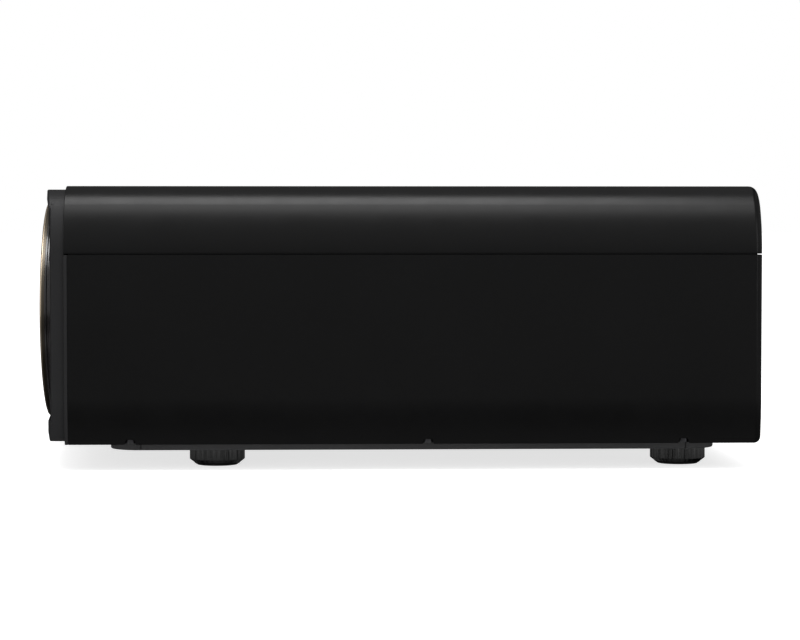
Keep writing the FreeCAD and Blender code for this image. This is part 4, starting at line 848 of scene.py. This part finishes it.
def make_knob(corner, spot):
    """Knurled knob with its threaded stem."""
    node = f"foot_knob_{corner}"
    bottom, top, stem_top = low(node).z, 11.5 * MM, high(node).z
    socket, bore, socket_top = 5.08 * MM, 3.6 * MM, 4.8 * MM
    grip = rounded([(bottom, socket, 0), (bottom, 15.6 * MM, 0.4 * MM), (3.9 * MM, KNOB_RADIUS, 0.5 * MM),
                    (top, KNOB_RADIUS, 0.6 * MM), (top, bore, 0), (socket_top, bore, 0),
                    (socket_top, socket, 0)], 0, 3)
    knob = lathe(f"grip_{corner}", grip, spot, KNURLS * 12, "z", radial=knurled)
    start = top - 1 * MM
    turns = int((stem_top - top) / (THREAD_PITCH / 6))
    stem_profile = [(start, 0.0)] + [(start + (stem_top - start) * i / turns, STEM_RADIUS)
                                     for i in range(turns + 1)] + [(stem_top, 0.0)]
    stem = lathe(f"stem_{corner}", stem_profile, spot, 48, "z", 60, threaded)
    on_body(merge(f"foot_grip_{corner}", [knob, stem]), node, node, "foot_black")


def make_sole(corner, spot):
    """Rubber foot with round grooves underneath."""
    node = f"foot_sole_{corner}"
    a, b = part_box(node)
    groove_half, groove_flat, groove_deep = 0.7 * MM, 0.4 * MM, 0.4 * MM
    profile = [(a.z, 0.0)]
    for groove in (4 * MM, 7.5 * MM, 11 * MM):
        profile += [(a.z, groove - groove_half), (a.z + groove_deep, groove - groove_flat),
                    (a.z + groove_deep, groove + groove_flat), (a.z, groove + groove_half)]
    profile += [(a.z, 13.2 * MM), (a.z + 0.3 * MM, 13.6 * MM), (1.2 * MM, 15.1 * MM), (1.5 * MM, 15.2 * MM),
                (1.5 * MM, 5 * MM), (b.z - 0.3 * MM, 5 * MM), (b.z, 4.7 * MM), (b.z, 0.0)]
    on_body(lathe(f"rubber_{corner}", profile, spot, 96, "z"), node, node, "sole_rubber")


def make_feet():
    for corner in FEET:
        spot = middle(f"foot_sole_{corner}")
        make_knob(corner, spot)
        make_sole(corner, spot)


# ---------------------------------------------------------------- rear

def make_keys():
    skirt, cap_radius, rim = 6.4 * MM, 5 * MM, 4 * MM
    for key in KEYS:
        a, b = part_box(key)
        cap = rounded([(a.y, 0.0, 0), (a.y, skirt, 0.1 * MM), (a.y + 1.3 * MM, skirt, 0.1 * MM),
                       (a.y + 1.3 * MM, cap_radius, 0.1 * MM), (b.y, cap_radius, 0.7 * MM),
                       (b.y, rim, 0.4 * MM), (b.y - 0.5 * MM, 2.4 * MM, 1.2 * MM),
                       (b.y - 0.55 * MM, 0.0, 0)], 0.3 * MM, 4)
        on_body(lathe(f"{key}_cap", cap, middle(key), 64), key, key, "key_black")


def make_terminal_plate():
    holes = [node_loop(node, 0.3 * MM, 2) for node in ("network_socket", "mains_inlet")]
    video_z, video_half = middle("video_sockets").z, (7.8 * MM, 3.2 * MM)
    for x in (-44 * MM, -18 * MM):
        holes.append(box_loop(x - video_half[0], x + video_half[0], video_z - video_half[1],
                              video_z + video_half[1], 0.3 * MM, 2))
    holes.append(circle_loop(44 * MM, middle("trigger_jack").z, 4.02 * MM, 32))
    rear = high("terminal_plate").y
    sheet = bar_frame("terminal_sheet", node_loop("terminal_plate", 1.4 * MM), holes, lambda x: rear, 2 * MM,
                      Vector((0, 1, 0)))
    on_body(sheet, "case", "terminal_plate", "terminal_black")


# ---------------------------------------------------------------- materials

def set_stops(node, stops):
    """Sets a colour ramp's stops from (place, colour) pairs."""
    elements = node.color_ramp.elements
    for index, (place, color) in enumerate(stops):
        element = elements[index] if index < 2 else elements.new(place)
        element.position = place
        element.color = (*color, 1)


class Nodes:
    """A material being built: its Principled shader and a few shortcuts."""

    def __init__(self, name):
        self.material = bpy.data.materials.new(name)
        self.material.use_nodes = True
        self.tree = self.material.node_tree
        self.shader = self.tree.nodes["Principled BSDF"]
        self.coords = self.tree.nodes.new("ShaderNodeTexCoord")

    def set(self, **values):
        """Sets the shader's own sockets, their names written with underscores."""
        for name, value in values.items():
            self.shader.inputs[name.replace("_", " ")].default_value = value
        return self

    def noise(self, scale, detail, stretch=(1, 1, 1)):
        mapping = self.tree.nodes.new("ShaderNodeMapping")
        mapping.inputs["Scale"].default_value = stretch
        self.tree.links.new(self.coords.outputs["Object"], mapping.inputs["Vector"])
        node = self.tree.nodes.new("ShaderNodeTexNoise")
        node.inputs["Scale"].default_value = scale
        node.inputs["Detail"].default_value = detail
        node.inputs["Roughness"].default_value = 0.55
        self.tree.links.new(mapping.outputs["Vector"], node.inputs["Vector"])
        return node.outputs["Fac"]

    def spread(self, source, low_value, high_value, start=0.3, end=0.7):
        node = self.tree.nodes.new("ShaderNodeMapRange")
        for name, value in (("From Min", start), ("From Max", end), ("To Min", low_value),
                            ("To Max", high_value)):
            node.inputs[name].default_value = value
        self.tree.links.new(source, node.inputs["Value"])
        return node.outputs["Result"]

    def ramp(self, source, *stops):
        node = self.tree.nodes.new("ShaderNodeValToRGB")
        set_stops(node, stops)
        self.tree.links.new(source, node.inputs["Fac"])
        return node.outputs["Color"]

    def link(self, source, socket):
        self.tree.links.new(source, self.shader.inputs[socket])
        return self

    def bump(self, source, depth, strength):
        node = self.tree.nodes.new("ShaderNodeBump")
        node.inputs["Strength"].default_value = strength
        node.inputs["Distance"].default_value = depth
        self.tree.links.new(source, node.inputs["Height"])
        self.tree.links.new(node.outputs["Normal"], self.shader.inputs["Normal"])


def shade(color, factor):
    """A colour made darker or paler."""
    return tuple(min(1.0, c * factor) for c in color)


def plastic(name, color, rough, grain=2600, depth=0.00002, specular=0.5, spread=0.05, coat=0.0):
    """Moulded plastic: fine grain, slightly uneven gloss and colour."""
    mat = Nodes(name)
    mat.set(Specular_IOR_Level=specular, Coat_Weight=coat, Coat_Roughness=0.05)
    mat.link(mat.ramp(mat.noise(14, 4), (0.3, shade(color, 0.88)), (0.7, shade(color, 1.12))), "Base Color")
    mat.link(mat.spread(mat.noise(60, 5), rough - spread, rough + spread), "Roughness")
    mat.bump(mat.noise(grain, 2), depth, 0.6)
    return mat.material


def metal(name, color, rough, stretch=(1, 1, 1), scale=400, depth=0.00001):
    """Metal with a grain drawn out along the axes that stretch keeps small."""
    mat = Nodes(name)
    mat.set(Metallic=1.0)
    mat.link(mat.ramp(mat.noise(30, 4), (0.3, shade(color, 0.9)), (0.7, shade(color, 1.08))), "Base Color")
    mat.link(mat.spread(mat.noise(scale, 3, stretch=stretch), rough * 0.8, rough * 1.25), "Roughness")
    mat.bump(mat.noise(scale * 2, 2, stretch=stretch), depth, 0.5)
    return mat.material


def trim_material(name):
    """Anodised ring: a bright cut front edge and a satin band behind it."""
    mat = Nodes(name)
    mat.set(Metallic=1.0)
    split = mat.tree.nodes.new("ShaderNodeSeparateXYZ")
    mat.tree.links.new(mat.coords.outputs["Object"], split.inputs[0])
    band = mat.spread(split.outputs["Y"], 0.0, 1.0, RING_FRONT + 0.9 * MM, RING_FRONT + 1.4 * MM)
    mat.link(mat.ramp(band, (0.0, (0.56, 0.46, 0.34)), (1.0, (0.09, 0.078, 0.062))), "Base Color")
    mat.link(mat.spread(mat.noise(120, 3, stretch=(1, 40, 1)), 0.3, 0.42), "Roughness")
    mat.bump(mat.noise(240, 2, stretch=(1, 40, 1)), 0.00001, 0.5)
    return mat.material


def board_material(name):
    """Circuit board: green mask with paler tracks and dark parts."""
    mat = Nodes(name)
    brick = mat.tree.nodes.new("ShaderNodeTexBrick")
    brick.inputs["Scale"].default_value = 90
    brick.inputs["Mortar Size"].default_value = 0.05
    brick.inputs["Color1"].default_value = (0.008, 0.07, 0.028, 1)
    brick.inputs["Color2"].default_value = (0.012, 0.09, 0.036, 1)
    brick.inputs["Mortar"].default_value = (0.03, 0.2, 0.08, 1)
    mat.tree.links.new(mat.coords.outputs["Object"], brick.inputs["Vector"])
    mat.link(brick.outputs["Color"], "Base Color")
    mat.link(mat.spread(mat.noise(200, 2), 0.3, 0.45), "Roughness")
    mat.bump(mat.noise(900, 2), 0.00003, 0.5)
    return mat.material


def glass_material(name):
    """Clear glass with a violet coating."""
    mat = Nodes(name)
    mat.set(Transmission_Weight=1.0, IOR=1.52, Base_Color=(0.86, 0.92, 1.0, 1), Coat_Weight=1.0,
            Coat_Tint=(0.55, 0.45, 1.0, 1), Coat_Roughness=0.02, Thin_Film_Thickness=380.0,
            Thin_Film_IOR=1.38)
    mat.link(mat.spread(mat.noise(20, 2), 0.0, 0.02), "Roughness")
    return mat.material


def make_materials():
    black = (0.0016, 0.0016, 0.0017)
    return {
        "case_black": plastic("case_black", black, 0.31, specular=0.17, spread=0.03),
        "panel_black": plastic("panel_black", (0.0095, 0.0095, 0.010), 0.48, specular=0.15),
        "grille_black": plastic("grille_black", (0.009, 0.009, 0.0095), 0.5, grain=1800),
        "ring_black": plastic("ring_black", (0.0105, 0.0092, 0.0094), 0.22, grain=900, depth=0.000003,
                              coat=0.12),
        "champagne": trim_material("champagne"),
        "baffle_black": plastic("baffle_black", (0.004, 0.004, 0.0045), 0.75, specular=0.15),
        "foot_black": plastic("foot_black", (0.002, 0.002, 0.0021), 0.14, grain=1500, depth=0.000004,
                              specular=0.7, spread=0.03, coat=1.0),
        "sole_rubber": plastic("sole_rubber", (0.003, 0.003, 0.003), 0.75, grain=1500, depth=0.00005,
                               specular=0.2),
        "plate_black": plastic("plate_black", (0.026, 0.026, 0.027), 0.4, grain=1500, depth=0.00003),
        "brass_thread": metal("brass_thread", (0.72, 0.55, 0.27), 0.25, stretch=(1, 1, 12), scale=150),
        "screw_black": metal("screw_black", (0.09, 0.09, 0.095), 0.35),
        "terminal_black": plastic("terminal_black", (0.012, 0.012, 0.0125), 0.4, grain=1200),
        "socket_metal": metal("socket_metal", (0.62, 0.62, 0.6), 0.28, stretch=(1, 12, 1)),
        "socket_black": plastic("socket_black", (0.01, 0.01, 0.011), 0.4),
        "key_black": plastic("key_black", (0.02, 0.02, 0.022), 0.35),
        "light_guide": plastic("light_guide", (0.35, 0.37, 0.4), 0.25),
        "smoked_window": plastic("smoked_window", (0.012, 0.003, 0.004), 0.08, grain=300, depth=0.000002,
                                 coat=0.5),
        "board_green": board_material("board_green"),
        "fan_black": plastic("fan_black", (0.014, 0.014, 0.015), 0.4),
        "cast_alloy": metal("cast_alloy", (0.52, 0.53, 0.55), 0.45, scale=700, depth=0.00003),
        "black_alloy": metal("black_alloy", (0.03, 0.03, 0.032), 0.35, stretch=(1, 30, 1), scale=160),
        "copper_pipe": metal("copper_pipe", (0.8, 0.42, 0.28), 0.2, stretch=(1, 14, 1)),
        "phosphor": plastic("phosphor", (0.72, 0.66, 0.12), 0.5, grain=1400, depth=0.00004),
        "steel_rod": metal("steel_rod", (0.6, 0.6, 0.61), 0.2, stretch=(12, 12, 1)),
        "motor_steel": metal("motor_steel", (0.42, 0.42, 0.43), 0.3),
        "coated_glass": glass_material("coated_glass"),
        "gear_white": plastic("gear_white", (0.62, 0.62, 0.58), 0.4),
    }


def dress(materials):
    """Gives every piece the material of its slot; carried-over CAD nodes take theirs from the record."""
    slots = {part["node"]: part["material_slot"] for part in frame["record"]["subparts"]}
    for name, obj in frame["nodes"].items():
        if not obj.material_slots:
            obj.data.materials.append(materials[slots[name]])
        for holder in obj.material_slots:
            holder.material = materials[slots[name]]
    for obj in scene.objects:
        if obj.type == "MESH" and obj.get("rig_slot") in materials:
            obj.data.materials.clear()
            obj.data.materials.append(materials[obj["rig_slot"]])


# ---------------------------------------------------------------- stage, lights and camera

def make_stage():
    size = 30
    corners = [(-size, -size, 0), (size, -size, 0), (size, size, 0), (-size, size, 0)]
    floor = make_object("floor", corners, [(0, 1, 2, 3)], facing=Vector((0, 0, 1)))
    mat = Nodes("pale_floor")
    mat.set(Specular_IOR_Level=0.0, Emission_Color=(1, 1, 1, 1), Emission_Strength=0.72)
    mat.link(mat.ramp(mat.noise(0.6, 2), (0.3, (0.60, 0.60, 0.60)), (0.7, (0.62, 0.62, 0.62))), "Base Color")
    mat.link(mat.spread(mat.noise(3, 2), 0.85, 0.95), "Roughness")
    floor.data.materials.append(mat.material)
    floor.visible_glossy = False


# brightness of the room in the reflections: ROOM from straight down to straight up, SIDES outwards
ROOM = ((0.0, 0.12), (0.1, 0.05), (0.14, 0.0), (0.2, 0.45), (0.26, 0.45), (0.32, 0.03), (0.44, 0.03),
        (0.475, 0.65), (0.53, 0.62), (1.0, 0.9))
SIDES = ((0.0, 1.0), (0.3, 1.0), (0.34, 0.02), (0.52, 0.02), (0.57, 1.0), (0.7, 1.0), (0.74, 0.02),
         (0.78, 0.02), (0.82, 1.0), (1.0, 1.0))


def make_world():
    """White all round for the camera and the floor, but a dark room in the reflections."""
    world = bpy.data.worlds.new("studio")
    scene.world = world
    world.use_nodes = True
    tree = world.node_tree

    def node(kind, *sources, **settings):
        """A node fed by the sources in the order of its sockets."""
        new = tree.nodes.new(f"ShaderNode{kind}")
        for name, value in settings.items():
            setattr(new, name, value)
        for socket, source in zip(new.inputs, sources):
            tree.links.new(source, socket)
        return new

    def levels(source, stops):
        ramp = node("ValToRGB", source)
        set_stops(ramp, [(place, (level, level, level)) for place, level in stops])
        return ramp.outputs["Color"]

    way = node("SeparateXYZ", node("TexCoord").outputs["Generated"])
    height = node("MapRange", way.outputs["Z"])
    height.inputs["From Min"].default_value = -1.0
    far = node("MapRange", way.outputs["X"])
    far.inputs["From Min"].default_value = -1.0
    far.inputs["From Max"].default_value = 0.3
    far.inputs["To Min"].default_value = 0.04
    aside = node("Math", way.outputs["Y"], operation="ABSOLUTE")
    level = node("Math", far.outputs["Result"], levels(aside.outputs[0], SIDES), operation="MULTIPLY")
    dimmed = node("VectorMath", levels(height.outputs["Result"], ROOM), operation="SCALE")
    tree.links.new(level.outputs[0], dimmed.inputs["Scale"])
    mix = node("Mix", data_type="RGBA")
    mix.inputs["A"].default_value = (1.0, 1.0, 1.0, 1)
    tree.links.new(dimmed.outputs[0], mix.inputs["B"])
    tree.links.new(node("LightPath").outputs["Is Glossy Ray"], mix.inputs["Factor"])
    tree.links.new(mix.outputs["Result"], tree.nodes["Background"].inputs["Color"])


def soft_light(name, place, target, width, depth, power):
    data = bpy.data.lights.new(name, "AREA")
    data.shape = "RECTANGLE"
    data.size, data.size_y = width, depth
    data.energy = power
    obj = bpy.data.objects.new(name, data)
    scene.collection.objects.link(obj)
    obj.location = place
    obj.rotation_mode = "QUATERNION"
    obj.rotation_quaternion = (Vector(target) - Vector(place)).to_track_quat("-Z", "Y")


def make_lights():
    soft_light("overhead", (0.62, -0.07, 1.8), (0.1, -0.03, 0.1), 1.0, 0.7, 18)
    soft_light("camera_side", (1.6, -0.2, 2.6), (0, 0, 0.1), 2.4, 1.0, 32)
    for side in (-1, 1):
        soft_light(f"strip_{side}", (1.9, 1.5 * side, 0.75), (0.1, 0, 0.1), 0.3, 1.4, 6)


def make_camera():
    data = bpy.data.cameras.new("camera")
    data.sensor_width = 36
    data.lens = 115.26
    data.clip_start, data.clip_end = 0.05, 60
    obj = bpy.data.objects.new("camera", data)
    scene.collection.objects.link(obj)
    obj.location = (1.875, -0.05514, 0.16232)
    yaw, pitch = math.radians(2.1087), math.radians(2.2311)
    aim = Vector((-math.cos(yaw) * math.cos(pitch), math.sin(yaw) * math.cos(pitch), -math.sin(pitch)))
    obj.rotation_mode = "QUATERNION"
    obj.rotation_quaternion = aim.to_track_quat("-Z", "Y")
    scene.camera = obj


make_camera()
make_world()
make_lights()
make_stage()
make_cover()
make_lower_case()
make_base_plate()
make_front_panel()
for panel_side in ("left", "right"):
    make_exhaust_grille(panel_side)
make_intake_grilles()
make_lens_ring()
make_lens_cone()
make_glass()
make_feet()
make_keys()
make_terminal_plate()
dress(make_materials())
scene.view_settings.view_transform = "Standard"
